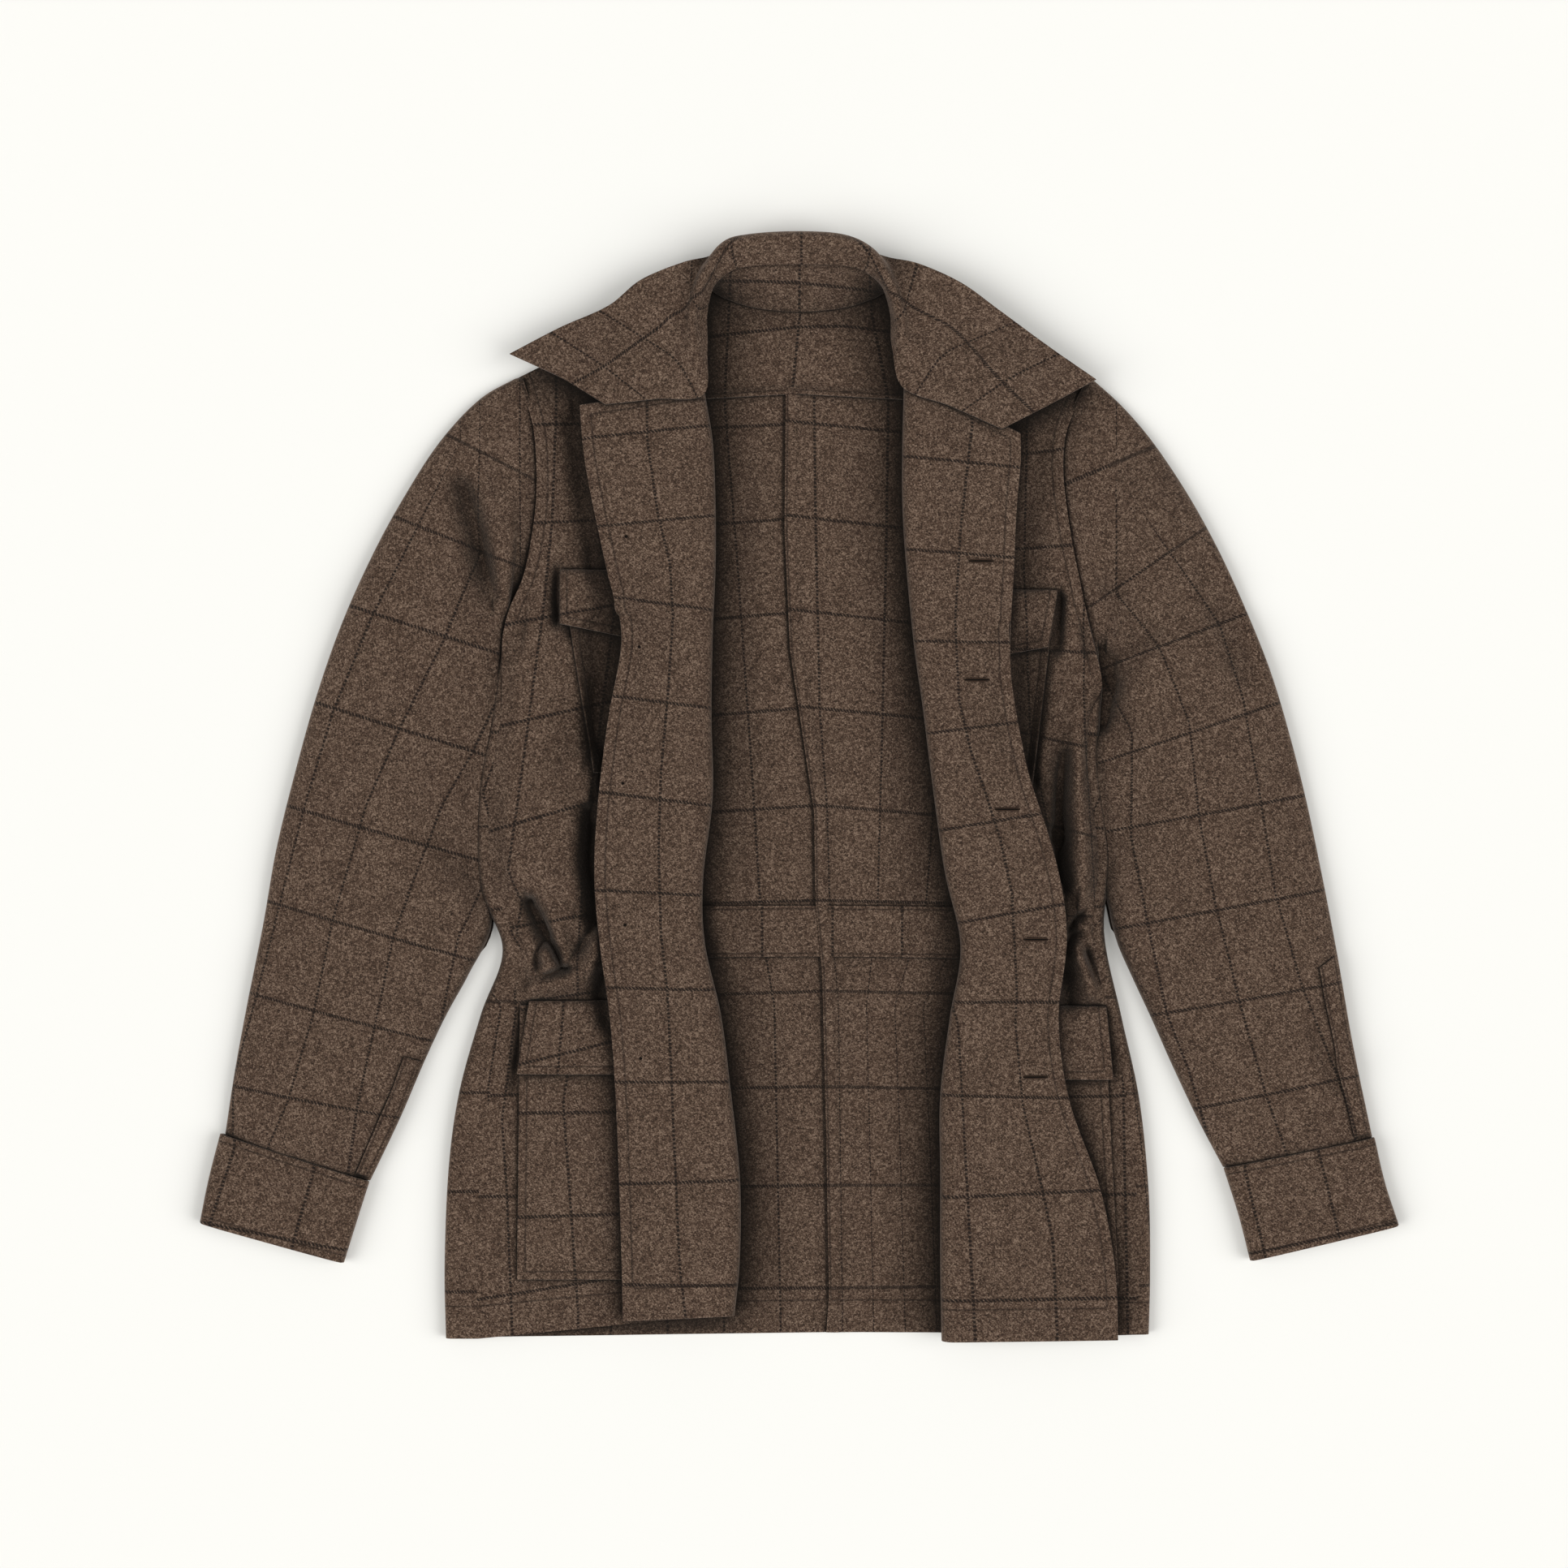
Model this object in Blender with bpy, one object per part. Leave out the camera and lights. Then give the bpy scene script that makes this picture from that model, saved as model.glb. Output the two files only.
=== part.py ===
"""Safari jacket of heavy checked wool, laid open on its back with both front edges turned out.

The jacket lies on z = 0 with its collar towards +Y. Left and right are as seen from above, so the
left front is the wearer's right one. Tables and sizes are in millimetres, and meshes in metres.
"""

import math
from collections import namedtuple

import bpy
import numpy as np
from mathutils import Vector
from mathutils.bvhtree import BVHTree

MM = 0.001

# Driving sizes of the cloth and its seams
CLOTH = 1.8
COLLAR_CLOTH = 2.2
CUFF_CLOTH = 3.0
CASING_CLOTH = 1.2
PLACKET_CLOTH = 1.2
FLAP_CLOTH = 2.2
SEAM_GAP = 0.3
LAYER_GAP = 0.5

# How the turned front edge rolls, and how the back rolls up at the sides
FOLD_RADIUS = 7.0
FOLD_STEPS = 6
SIDE_STEPS = 4
WRAP_STEPS = 2

# Mesh steps across the panels
FRONT_STEPS = 10
STRIP_STEPS = 4
BACK_STEPS = 4
SLEEVE_STEPS = 10
STAND_STEPS = 3
CUFF_SIDES = 20

# A pocket or flap ends at least this far before the roll.
PATCH_MARGIN = 3.0

# Buttons under the turned left edge
BUTTON_RADIUS = 10.0
BUTTON_THICK = 3.0
BUTTON_RIM = 1.8
BUTTON_DISH = 0.8
BUTTON_SIDES = 18

# Waist casing across the inside of the back
CASING_TOP = -84.0
CASING_HEIGHT = 38.0
CASING_INSET = 34.0
CASING_BOW = 3.0

Finish = namedtuple("Finish", "colour roughness")
WOOL = Finish((0.085, 0.060, 0.045), 0.95)
HORN = Finish((0.030, 0.018, 0.012), 0.35)

FrontRow = namedtuple(
    "FrontRow", "side_x side_y fold_x fold_y edge_x edge_y side_z fold_z edge_z puff wrap"
)
SleeveRow = namedtuple("SleeveRow", "outer_x outer_y inner_x inner_y bulge crown")
CuffRow = namedtuple("CuffRow", "outer_x outer_y inner_x inner_y crown")
FallRow = namedtuple(
    "FallRow", "seam_x seam_y seam_z roll_x roll_y roll_z edge_x edge_y edge_z crease"
)
StandRow = namedtuple("StandRow", "neck_x neck_y neck_z top_x top_y top_z")
YokeRow = namedtuple("YokeRow", "seam_x top_x top_y")
CentreRow = namedtuple("CentreRow", "y x")
Pocket = namedtuple("Pocket", "outer_x top_y width height taper")
Flap = namedtuple("Flap", "outer_x top_y width height taper point")
Fold = namedtuple("Fold", "x0 y0 x1 y1 width height")
ButtonPlace = namedtuple("ButtonPlace", "x y")
Placket = namedtuple("Placket", "first_row last_row near far")

# Sections of each front, hem first. Side is the outline or armhole, fold the rolled edge and edge the
# free edge of the turned strip. Rows past FOLD_TOP run up the neck to the shoulder and have no strip.
FOLD_TOP = 13
ARMPIT = 9
LEFT_FRONT = [
    FrontRow(-262, -407, -48, -389, -130, -393, 9.5, 8, 17, 1.0, 24),
    FrontRow(-263, -353, -44, -347, -131, -350, 9.5, 8, 17, 1.5, 24),
    FrontRow(-260, -281, -44, -287, -133, -287, 9.5, 8, 19, 1.5, 24),
    FrontRow(-252, -224, -51, -221, -136, -218, 9.5, 8, 21, 1.5, 23),
    FrontRow(-236, -167, -58, -167, -140, -167, 9.5, 8, 21, 1.0, 20),
    FrontRow(-220, -119, -70, -113, -147, -116, 9.5, 8, 20, 0.5, 14),
    FrontRow(-237, -71, -71, -65, -151, -65, 9.5, 8, 21, 2.5, 10),
    FrontRow(-238, -5, -64, -5, -148, -5, 9.5, 8, 21, 2.0, 9),
    FrontRow(-228, 55, -65, 55, -140, 55, 9.5, 8, 22, -1.0, 8),
    FrontRow(-218, 123, -64, 115, -131, 112, 9.5, 8, 21, -1.0, 8),
    FrontRow(-204, 160, -62, 163, -141, 157, 10, 8, 20, 0.0, 0.3),
    FrontRow(-196, 205, -62, 211, -152, 208, 10, 8, 20, 0.5, 0.3),
    FrontRow(-195, 238, -64, 256, -159, 247, 10, 8, 21, 0.5, 0.3),
    FrontRow(-197, 265, -70, 295, -162, 283, 10, 8, 22, 0.0, 0.3),
    FrontRow(-202, 285, -72, 334, -162, 283, 8, 6, 22, 0.0, 0.3),
    FrontRow(-208, 305, -72, 373, -162, 283, 3.2, 3.2, 22, 0.0, 0.3),
]
RIGHT_FRONT = [
    FrontRow(259, -404, 105, -408, 235, -407, 9.5, 8, 17, 1.0, 9),
    FrontRow(260, -359, 104, -353, 233, -356, 9.5, 8, 17, 1.0, 9),
    FrontRow(259, -299, 104, -287, 222, -296, 9.5, 8, 17, 1.0, 9),
    FrontRow(252, -230, 104, -227, 199, -230, 9.5, 8, 18, 1.0, 9),
    FrontRow(239, -170, 111, -170, 191, -170, 9.5, 8, 19, 1.0, 9),
    FrontRow(226, -107, 119, -116, 197, -107, 9.5, 8, 20, 1.0, 9),
    FrontRow(230, -50, 107, -59, 188, -50, 9.5, 8, 20, 2.0, 9),
    FrontRow(222, 13, 97, 13, 168, 13, 9.5, 8, 20, 1.5, 9),
    FrontRow(223, 55, 91, 61, 159, 58, 9.5, 8, 21, -0.5, 9),
    FrontRow(224, 82, 85, 103, 155, 100, 9.5, 8, 21, -1.0, 9),
    FrontRow(213, 130, 79, 163, 158, 160, 10, 8, 20, 0.0, 0.3),
    FrontRow(202, 184, 76, 211, 160, 205, 10, 8, 20, 0.5, 0.3),
    FrontRow(196, 229, 76, 256, 163, 241, 10, 8, 21, 0.5, 0.3),
    FrontRow(197, 259, 77, 301, 163, 262, 10, 8, 22, 0.0, 0.3),
    FrontRow(204, 280, 75, 337, 163, 262, 8, 6, 22, 0.0, 0.3),
    FrontRow(216, 304, 72, 373, 163, 262, 3.2, 3.2, 22, 0.0, 0.3),
]

# Folds raised (or sunk, below zero) in each front: the waist is drawn in by its casing.
LEFT_FRONT_FOLDS = [
    Fold(-199, -84, -174, -130, 6, -3.5),
    Fold(-214, -110, -196, -136, 6, 4.0),
    Fold(-189, -121, -186, -128, 6, 5.0),
    Fold(-204, -143, -152, -122, 8, 5.0),
    Fold(-170, -96, -152, -112, 7, 4.0),
    Fold(-220, -40, -180, -66, 22, 2.5),
    Fold(-160, -60, -154, -30, 7, -3.0),
]
RIGHT_FRONT_FOLDS = [
    Fold(208, -112, 222, -142, 5, -3.5),
    Fold(204, -118, 216, -150, 6, 4.5),
    Fold(215, -104, 224, -112, 5, 3.5),
    Fold(205, 30, 212, -70, 11, 2.5),
    Fold(190, 30, 196, -36, 8, -3.0),
    Fold(214, 118, 219, 92, 5, -3.0),
]

# Sections of each sleeve, armhole first, from its outer edge to the edge beside the body
LEFT_SLEEVE = [
    SleeveRow(-208, 305, -218, 123, 8, 10),
    SleeveRow(-237, 288, -221, 103, 3, 11),
    SleeveRow(-266, 257, -224, 79, 0, 13),
    SleeveRow(-292, 217, -229, 49, 0, 15),
    SleeveRow(-315, 175, -234, 16, 0, 16),
    SleeveRow(-338, 124, -237, -20, 0, 17),
    SleeveRow(-357, 70, -237, -60, 0, 18),
    SleeveRow(-373, 13, -229, -100, 0, 18),
    SleeveRow(-387, -44, -246, -137, 0, 17),
    SleeveRow(-397, -101, -263, -168, 0, 17),
    SleeveRow(-409, -161, -279, -202, 0, 16),
    SleeveRow(-418, -210, -297, -244, 0, 15),
    SleeveRow(-425, -256, -319, -290, 0, 13),
]
RIGHT_SLEEVE = [
    SleeveRow(216, 304, 224, 82, -8, 10),
    SleeveRow(239, 283, 226, 61, -2, 11),
    SleeveRow(262, 256, 224, 37, 0, 13),
    SleeveRow(288, 217, 223, 13, 0, 15),
    SleeveRow(311, 175, 227, -17, 0, 16),
    SleeveRow(332, 129, 231, -50, 0, 17),
    SleeveRow(349, 86, 230, -84, 0, 18),
    SleeveRow(362, 43, 236, -112, 0, 18),
    SleeveRow(375, -8, 248, -140, 0, 17),
    SleeveRow(387, -65, 262, -170, 0, 17),
    SleeveRow(398, -122, 278, -206, 0, 16),
    SleeveRow(410, -191, 297, -246, 0, 15),
    SleeveRow(424, -258, 315, -280, 0, 13),
]
LEFT_SLEEVE_FOLDS = [
    Fold(-249, 223, -234, 160, 10, -4.0),
    Fold(-214, 205, -219, 150, 12, 1.5),
    Fold(-292, 120, -250, 20, 16, -1.5),
]
RIGHT_SLEEVE_FOLDS = [
    Fold(236, 78, 248, 98, 8, -4.5),
    Fold(250, 112, 330, 140, 12, -2.5),
    Fold(252, 62, 306, 78, 13, 2.5),
    Fold(314, 130, 340, 66, 12, -2.5),
]
SLEEVE_EDGE_Z = CLOTH + 2 * LAYER_GAP
SLEEVE_CLEAR = 1.2
SLEEVE_SQUARENESS = 0.62

LEFT_CUFF = [
    CuffRow(-427.7, -255.5, -319.9, -290.2, 14),
    CuffRow(-436.5, -290.0, -330.0, -322.0, 14),
    CuffRow(-443.0, -322.0, -339.0, -351.0, 13),
]
RIGHT_CUFF = [
    CuffRow(424.7, -258.3, 315.6, -280.3, 14),
    CuffRow(432.5, -292.0, 327.0, -316.0, 14),
    CuffRow(443.0, -324.0, 335.5, -349.5, 13),
]
CUFF_SQUARENESS = 0.55
LEFT_PLACKET = Placket(10.0, 11.95, 0.74, 0.90)
RIGHT_PLACKET = Placket(10.0, 11.95, 0.28, 0.12)
PLACKET_STEPS = 8

# The turned-down collar: gorge or stand seam, roll and free edge, from the left tip round to the right
FALL = [
    FallRow(-137, 288, 24, -172, 304, 25, -214, 321, 19, 0),
    FallRow(-104, 292.5, 24, -136, 314, 26, -177, 340, 22, 0),
    FallRow(-76, 301, 23, -86, 318, 28, -141, 356, 24, 0.4),
    FallRow(-71, 330, 23, -79, 331, 32, -117, 375, 25, 1),
    FallRow(-71, 352, 24, -79, 351, 34, -86, 388, 21, 1),
    FallRow(-64, 375, 26, -71, 376, 36, -66, 393, 14, 1),
    FallRow(-51, 387, 27, -56, 396, 38, -52, 400, 7, 1),
    FallRow(-34, 391, 28, -36, 402, 39, -36, 400, 3, 1),
    FallRow(0, 392, 29, 0, 404, 40, 0, 401, 2, 1),
    FallRow(34, 391, 28, 33, 401.5, 39, 34, 400, 3, 1),
    FallRow(50, 386, 27, 54, 391, 38, 50, 397, 7, 1),
    FallRow(62, 374, 26, 67, 371, 36, 66, 392, 14, 1),
    FallRow(70, 351, 24, 75, 348, 34, 88, 387, 21, 1),
    FallRow(71, 332, 23, 77, 330, 32, 119, 373, 25, 1),
    FallRow(82, 309, 23, 92, 325, 28, 147, 353, 24, 0.4),
    FallRow(113, 290.5, 24, 147, 309, 26, 184, 326, 22, 0),
    FallRow(152, 270.5, 24, 186, 286, 25, 219, 302, 20, 0),
]
ROLL_WIDTH = 3.0
STAND = [
    StandRow(-71, 298, 9.5, -71, 302, 22),
    StandRow(-70, 328, 8.5, -71, 330, 22),
    StandRow(-70, 350, 6.5, -71, 352, 23),
    StandRow(-69, 370, 3.8, -64, 374, 25),
    StandRow(-55, 364, 2.9, -51, 386, 26),
    StandRow(-33, 357, 2.9, -34, 390, 27),
    StandRow(0, 354, 2.9, 0, 391, 28),
    StandRow(33, 357, 2.9, 34, 390, 27),
    StandRow(55, 364, 2.9, 50, 385, 26),
    StandRow(69, 370, 3.8, 62, 373, 25),
    StandRow(70, 350, 6.5, 70, 351, 23),
    StandRow(70, 328, 8.5, 71, 332, 22),
    StandRow(73, 304, 9.5, 74, 307, 22),
]

# The back yoke lies flat between the shoulder lines, the neck and its seam to the back panels.
YOKE_SEAM_SIDE = 286
YOKE_SEAM_CENTRE = 297
YOKE = [
    YokeRow(-201.5, -207, 304),
    YokeRow(-138, -140, 336),
    YokeRow(-73, -73, 372),
    YokeRow(-55, -55, 363),
    YokeRow(-33, -33, 356),
    YokeRow(-3, 0, 353),
    YokeRow(33, 33, 356),
    YokeRow(55, 55, 363),
    YokeRow(73, 73, 372),
    YokeRow(138, 140, 339),
    YokeRow(206, 215, 303),
]
CENTRE_BACK = [
    CentreRow(-403, 27), CentreRow(-376, 29), CentreRow(-257, 27), CentreRow(-137, 24),
    CentreRow(-83, 19), CentreRow(-17, 18), CentreRow(43, 9), CentreRow(103, 0),
    CentreRow(193, -4), CentreRow(300, -3),
]

LEFT_POCKETS = {"chest": Pocket(-176, 158, 100, 146, 24), "hip": Pocket(-207, -160, 115, 203, -2)}
RIGHT_POCKETS = {"chest": Pocket(190, 144, 100, 146, 18), "hip": Pocket(226, -164, 112, 203, -10)}
LEFT_FLAPS = {"chest": Flap(-177, 162, 102, 40, 0, 10), "hip": Flap(-200, -157, 110, 54, -9, 0)}
RIGHT_FLAPS = {"chest": Flap(191, 147, 102, 42, 7, 8), "hip": Flap(227, -161, 113, 54, -5, 0)}
BUTTONS = [
    ButtonPlace(-128, 186), ButtonPlace(-118, 104), ButtonPlace(-130, 4),
    ButtonPlace(-129, -99), ButtonPlace(-117, -199),
]


def columns(table, *names):
    """The named columns of a table, one row of numbers for each row."""
    return np.array([[getattr(row, name) for name in names] for row in table], float)


def spline(knots, at):
    """A smooth curve through equally spaced knots, read at row numbers that may lie between rows."""
    knots = np.asarray(knots, float)
    last = len(knots) - 1
    at = np.clip(np.asarray(at, float), 0, last)
    low = np.minimum(at.astype(int), last - 1)
    part = (at - low)[..., None]
    ends = np.vstack([2 * knots[0] - knots[1], knots, 2 * knots[-1] - knots[-2]])
    a, b, c, d = (ends[low + step] for step in range(4))
    bend = 2 * a - 5 * b + 4 * c - d + part * (3 * (b - c) + d - a)
    return b + 0.5 * part * (c - a + part * bend)


def relief(x, y, folds):
    """Height that soft ridges and troughs add at points of a panel."""
    height = np.zeros_like(x)
    for fold in folds:
        run_x, run_y = fold.x1 - fold.x0, fold.y1 - fold.y0
        along = ((x - fold.x0) * run_x + (y - fold.y0) * run_y) / (run_x**2 + run_y**2)
        along = np.clip(along, 0, 1)
        away = np.hypot(x - fold.x0 - along * run_x, y - fold.y0 - along * run_y)
        height += fold.height * np.exp(-((away / fold.width) ** 2))
    return height


def moved_out(points, distance):
    """A grid of points moved along its own normals, on the side that faces up in its last column."""
    normal = np.cross(np.gradient(points, axis=0), np.gradient(points, axis=1))
    normal /= np.linalg.norm(normal, axis=2, keepdims=True)
    if normal[:, -1, 2].sum() < 0:
        normal = -normal
    return points + distance * normal


def side_outline(front):
    """The body's outer edge as two lists, y rising and x."""
    edge = spline(columns(front, "side_y", "side_x"), np.linspace(0, len(front) - 1, 200))
    return edge[:, 0], edge[:, 1]


def side_x(front, y):
    """The body's outer edge at height y."""
    return np.interp(y, *side_outline(front))


def grid_mesh(points, loop=False):
    """Points and four-sided faces of a grid, wound to face up. Cells with a missing corner are left out."""
    rows, cols = points.shape[:2]
    there = ~np.isnan(points[..., 0])
    index = np.cumsum(there.ravel()).reshape(rows, cols) - 1
    faces = []
    for i in range(rows - 1):
        for j in range(cols if loop else cols - 1):
            corners = [(i, j), (i, (j + 1) % cols), (i + 1, (j + 1) % cols), (i + 1, j)]
            if all(there[corner] for corner in corners):
                faces.append([int(index[corner]) for corner in corners])
    first, second, third = (points[there][faces[0][k], :2] for k in range(3))
    if np.cross(second - first, third - first) < 0:
        faces = [face[::-1] for face in faces]
    return points[there], faces


def place(obj, finish):
    """Links an object and gives it a material of its own."""
    bpy.context.scene.collection.objects.link(obj)
    made = bpy.data.materials.new(obj.name)
    made.use_nodes = True
    shader = made.node_tree.nodes["Principled BSDF"]
    shader.inputs["Base Color"].default_value = (*finish.colour, 1.0)
    shader.inputs["Roughness"].default_value = finish.roughness
    shader.inputs["Metallic"].default_value = 0.0
    obj.data.materials.append(made)
    return obj


def cloth(name, points, thickness, loop=False):
    """A wall of cloth of even thickness on a grid of points in its middle."""
    verts, faces = grid_mesh(points, loop)
    mesh = bpy.data.meshes.new(name)
    mesh.from_pydata([Vector(point) * MM for point in verts], [], faces)
    mesh.shade_smooth()
    wall = place(bpy.data.objects.new(name, mesh), WOOL).modifiers.new("Wall", "SOLIDIFY")
    wall.thickness = thickness * MM
    wall.offset = 0.0
    wall.use_even_offset = True


def front_rows():
    """Row numbers of a front's mesh: closer together where the waist is gathered."""
    skirt = np.linspace(0, 4, 8)
    waist = np.linspace(4, 6, 11)[1:]
    chest = np.linspace(6, FOLD_TOP, 13)[1:]
    neck = np.linspace(FOLD_TOP, FOLD_TOP + 2, 5)[1:]
    return np.concatenate([skirt, waist, chest, neck])


def front_points(front, folds, inward):
    """A front panel: its layer over the back, the roll at its inner edge and the strip turned back."""
    names = ("side_x", "side_y", "fold_x", "fold_y", "edge_x", "edge_y")
    at = front_rows()
    sx, sy, fx, fy, ex, ey = spline(columns(front, *names), at).T[..., None]
    heights = columns(front, "side_z", "fold_z", "edge_z", "puff", "wrap")
    side_z, fold_z, edge_z, puff, wrap = spline(heights, at).T[..., None]
    apex = fx - inward * (1.5 * CLOTH + LAYER_GAP)
    rolls = (at <= FOLD_TOP)[:, None]
    wrap = np.maximum(wrap, SEAM_GAP)

    across = np.linspace(0, 1, FRONT_STEPS + 1)[None]
    start = sx + inward * wrap
    stop = np.where(rolls, apex - inward * FOLD_RADIUS, fx - inward * SEAM_GAP)
    x = start + (stop - start) * across
    y = sy + (fy - sy) * across
    z = side_z + (fold_z - side_z) * across + puff * np.sin(math.pi * across)
    z += relief(x, y, folds) * np.sin(math.pi * np.minimum(across * 4, 0.5))
    lower = np.stack([x, y, z], axis=2)

    turn = np.linspace(0, math.pi, FOLD_STEPS + 1)[None, 1:]
    x = stop + inward * FOLD_RADIUS * np.sin(turn)
    z = fold_z + FOLD_RADIUS * (1 - np.cos(turn))
    roll = np.stack([x, fy + 0 * x, z], axis=2)

    across = np.linspace(0, 1, STRIP_STEPS + 1)[None, 1:]
    x = stop + (ex - stop) * across
    y = fy + (ey - fy) * across
    z = fold_z + 2 * FOLD_RADIUS + (edge_z - fold_z - 2 * FOLD_RADIUS) * across**2
    strip = np.stack([x, y, z], axis=2)

    turned = np.concatenate([roll, strip], axis=1)
    turned[~rolls[:, 0]] = np.nan
    return np.concatenate([lower, turned], axis=1)


def facing_points(front):
    """The facing lies on the turned strip, from its free edge to just under the roll."""
    strip_rows = ~np.isnan(front[:, -1, 0])
    under_roll = FRONT_STEPS + FOLD_STEPS // 2 - 1
    return moved_out(front[strip_rows, under_roll:], CLOTH + LAYER_GAP)


def back_points(front, inward):
    """One half of the back: flat from the centre seam, then rolled up at the side to the side seam."""
    at = front_rows()[:-1]
    edge, side_y = spline(columns(front, "side_x", "side_y"), at).T
    wrap = spline(columns(front, "wrap"), at)[:, 0]
    side_y[-1] = YOKE_SEAM_SIDE - SEAM_GAP
    edge[-1] = side_x(front, side_y[-1])
    low_centre, top_centre = CENTRE_BACK[0].y, YOKE_SEAM_CENTRE - SEAM_GAP
    centre_y = low_centre + (top_centre - low_centre) * at / at[-1]
    centre_x = np.interp(centre_y, *columns(CENTRE_BACK, "y", "x").T) - inward * SEAM_GAP / 2
    radius = (front[0].side_z - CLOTH / 2) / 2
    rolled = at < ARMPIT
    stop = edge + inward * np.where(rolled, radius + CLOTH / 2, SEAM_GAP)

    across = np.linspace(0, 1, BACK_STEPS + 1)[None]
    x = centre_x[:, None] + (stop - centre_x)[:, None] * across
    y = centre_y[:, None] + (side_y - centre_y)[:, None] * across
    flat = np.stack([x, y, 0 * x + CLOTH / 2], axis=2)

    turn = np.linspace(0, math.pi, SIDE_STEPS + 1)[None, 1:]
    x = stop[:, None] - inward * radius * np.sin(turn)
    z = CLOTH / 2 + radius * (1 - np.cos(turn)) + 0 * x
    roll = np.stack([x, side_y[:, None] + 0 * x, z], axis=2)

    seam = edge + inward * (wrap - LAYER_GAP)
    across = np.linspace(0, 1, WRAP_STEPS + 1)[None, 1:]
    x = stop[:, None] + (seam - stop)[:, None] * across
    over = np.stack([x, side_y[:, None] + 0 * x, 0 * x + front[0].side_z], axis=2)

    side = np.concatenate([roll, over], axis=1)
    side[~rolled] = np.nan
    return np.concatenate([flat, side], axis=1)


def yoke_points():
    """The flat back yoke, from its seam up to the shoulders and neck."""
    seam_x, top_x, top_y = columns(YOKE, "seam_x", "top_x", "top_y").T
    ends = [seam_x[0], CENTRE_BACK[-1].x, seam_x[-1]]
    seam_y = np.interp(seam_x, ends, [YOKE_SEAM_SIDE, YOKE_SEAM_CENTRE, YOKE_SEAM_SIDE])
    rise = np.linspace(0, 1, 3)[:, None]
    x = seam_x + (top_x - seam_x) * rise
    y = seam_y + (top_y - seam_y) * rise
    return np.stack([x, y, 0 * y + CLOTH / 2], axis=2)


def casing_points():
    """The drawcord casing, a band on the inside of the back at the waist."""
    waist_y = CASING_TOP - CASING_HEIGHT / 2
    left = side_x(LEFT_FRONT, waist_y) + CASING_INSET
    right = side_x(RIGHT_FRONT, waist_y) - CASING_INSET
    across = np.linspace(0, 1, 11)[None]
    drop = np.linspace(0, 1, 3)[:, None]
    x = left + (right - left) * across + 0 * drop
    y = CASING_TOP - CASING_HEIGHT * drop - CASING_BOW * (2 * across - 1) ** 2
    return np.stack([x, y, 0 * x + CLOTH + SEAM_GAP + CASING_CLOTH / 2], axis=2)


def sleeve_outline(sleeve, at, front, inward):
    """Edges, bulge and crown of a sleeve at given row numbers. Its inner edge clears the body."""
    outer = spline(columns(sleeve, "outer_x", "outer_y"), at)
    inner = spline(columns(sleeve, "inner_x", "inner_y"), at)
    clear = side_x(front, inner[:, 1]) - inward * (CLOTH / 2 + SLEEVE_CLEAR)
    beside = inner[:, 1] > front[5].side_y
    closest = np.minimum if inward > 0 else np.maximum
    inner[:, 0] = np.where(beside, closest(inner[:, 0], clear), inner[:, 0])
    bulge, crown = spline(columns(sleeve, "bulge", "crown"), at).T
    return outer, inner, bulge, crown


def arch_steps(turn, squareness):
    """Parts of the way across a flattened arch, and of its height, for turns from 0 to pi."""
    across = 0.5 - 0.5 * np.sign(np.cos(turn)) * np.abs(np.cos(turn)) ** squareness
    rise = np.sign(np.sin(turn)) * np.abs(np.sin(turn)) ** squareness
    return across, rise


def sleeve_surface(sleeve, folds, front, inward, at, turn):
    """The upper half of a sleeve as a low arch. Turn is 0 at the outer edge and pi at the inner one."""
    outer, inner, bulge, crown = sleeve_outline(sleeve, at, front, inward)
    across, rise = arch_steps(turn, SLEEVE_SQUARENESS)
    flat = outer[:, None] + (inner - outer)[:, None] * across[None, :, None]
    flat[..., 0] += bulge[:, None] * np.sin(math.pi * across)[None]
    if at[0] == 0:
        flat[0, :, 0] = side_x(front, flat[0, :, 1]) - inward * SLEEVE_CLEAR
    z = SLEEVE_EDGE_Z + (crown[:, None] - SLEEVE_EDGE_Z) * rise[None]
    z += relief(flat[..., 0], flat[..., 1], folds) * rise[None] ** 2
    return np.concatenate([flat, z[..., None]], axis=2)


def sleeve_under(sleeve, front, inward, at):
    """The lower half of a sleeve, flat on the ground, with the same outline."""
    turn = np.array([0, math.pi / 3, 2 * math.pi / 3, math.pi])
    points = sleeve_surface(sleeve, [], front, inward, at, turn)
    points[..., 2] = CLOTH / 2
    return points


def cuff_points(cuff):
    """A buttoned cuff as a flattened band: a flat underside and a low arch over it."""
    at = np.linspace(0, len(cuff) - 1, 4)
    outer = spline(columns(cuff, "outer_x", "outer_y"), at)
    inner = spline(columns(cuff, "inner_x", "inner_y"), at)
    crown = spline(columns(cuff, "crown"), at)
    turn = np.arange(CUFF_SIDES) * 2 * math.pi / CUFF_SIDES
    across, bend = arch_steps(turn, CUFF_SQUARENESS)
    flat = outer[:, None] + (inner - outer)[:, None] * across[None, :, None]
    low = CUFF_CLOTH / 2
    middle = low + 0.4 * (crown - low)
    z = np.where(bend > 0, middle + (crown - middle) * bend, middle + 1.3 * (middle - low) * bend)
    return np.concatenate([flat, np.maximum(z, low)[..., None]], axis=2)


def placket_points(placket, sleeve, front, inward):
    """The strip that binds a sleeve's cuff opening, made from the sleeve's points and moved out."""
    at = np.linspace(placket.first_row, placket.last_row, PLACKET_STEPS)
    turn = np.linspace(placket.near, placket.far, 3) * math.pi
    away = CLOTH / 2 + 2 * LAYER_GAP + PLACKET_CLOTH / 2
    return moved_out(sleeve_surface(sleeve, [], front, inward, at, turn), away)


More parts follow.
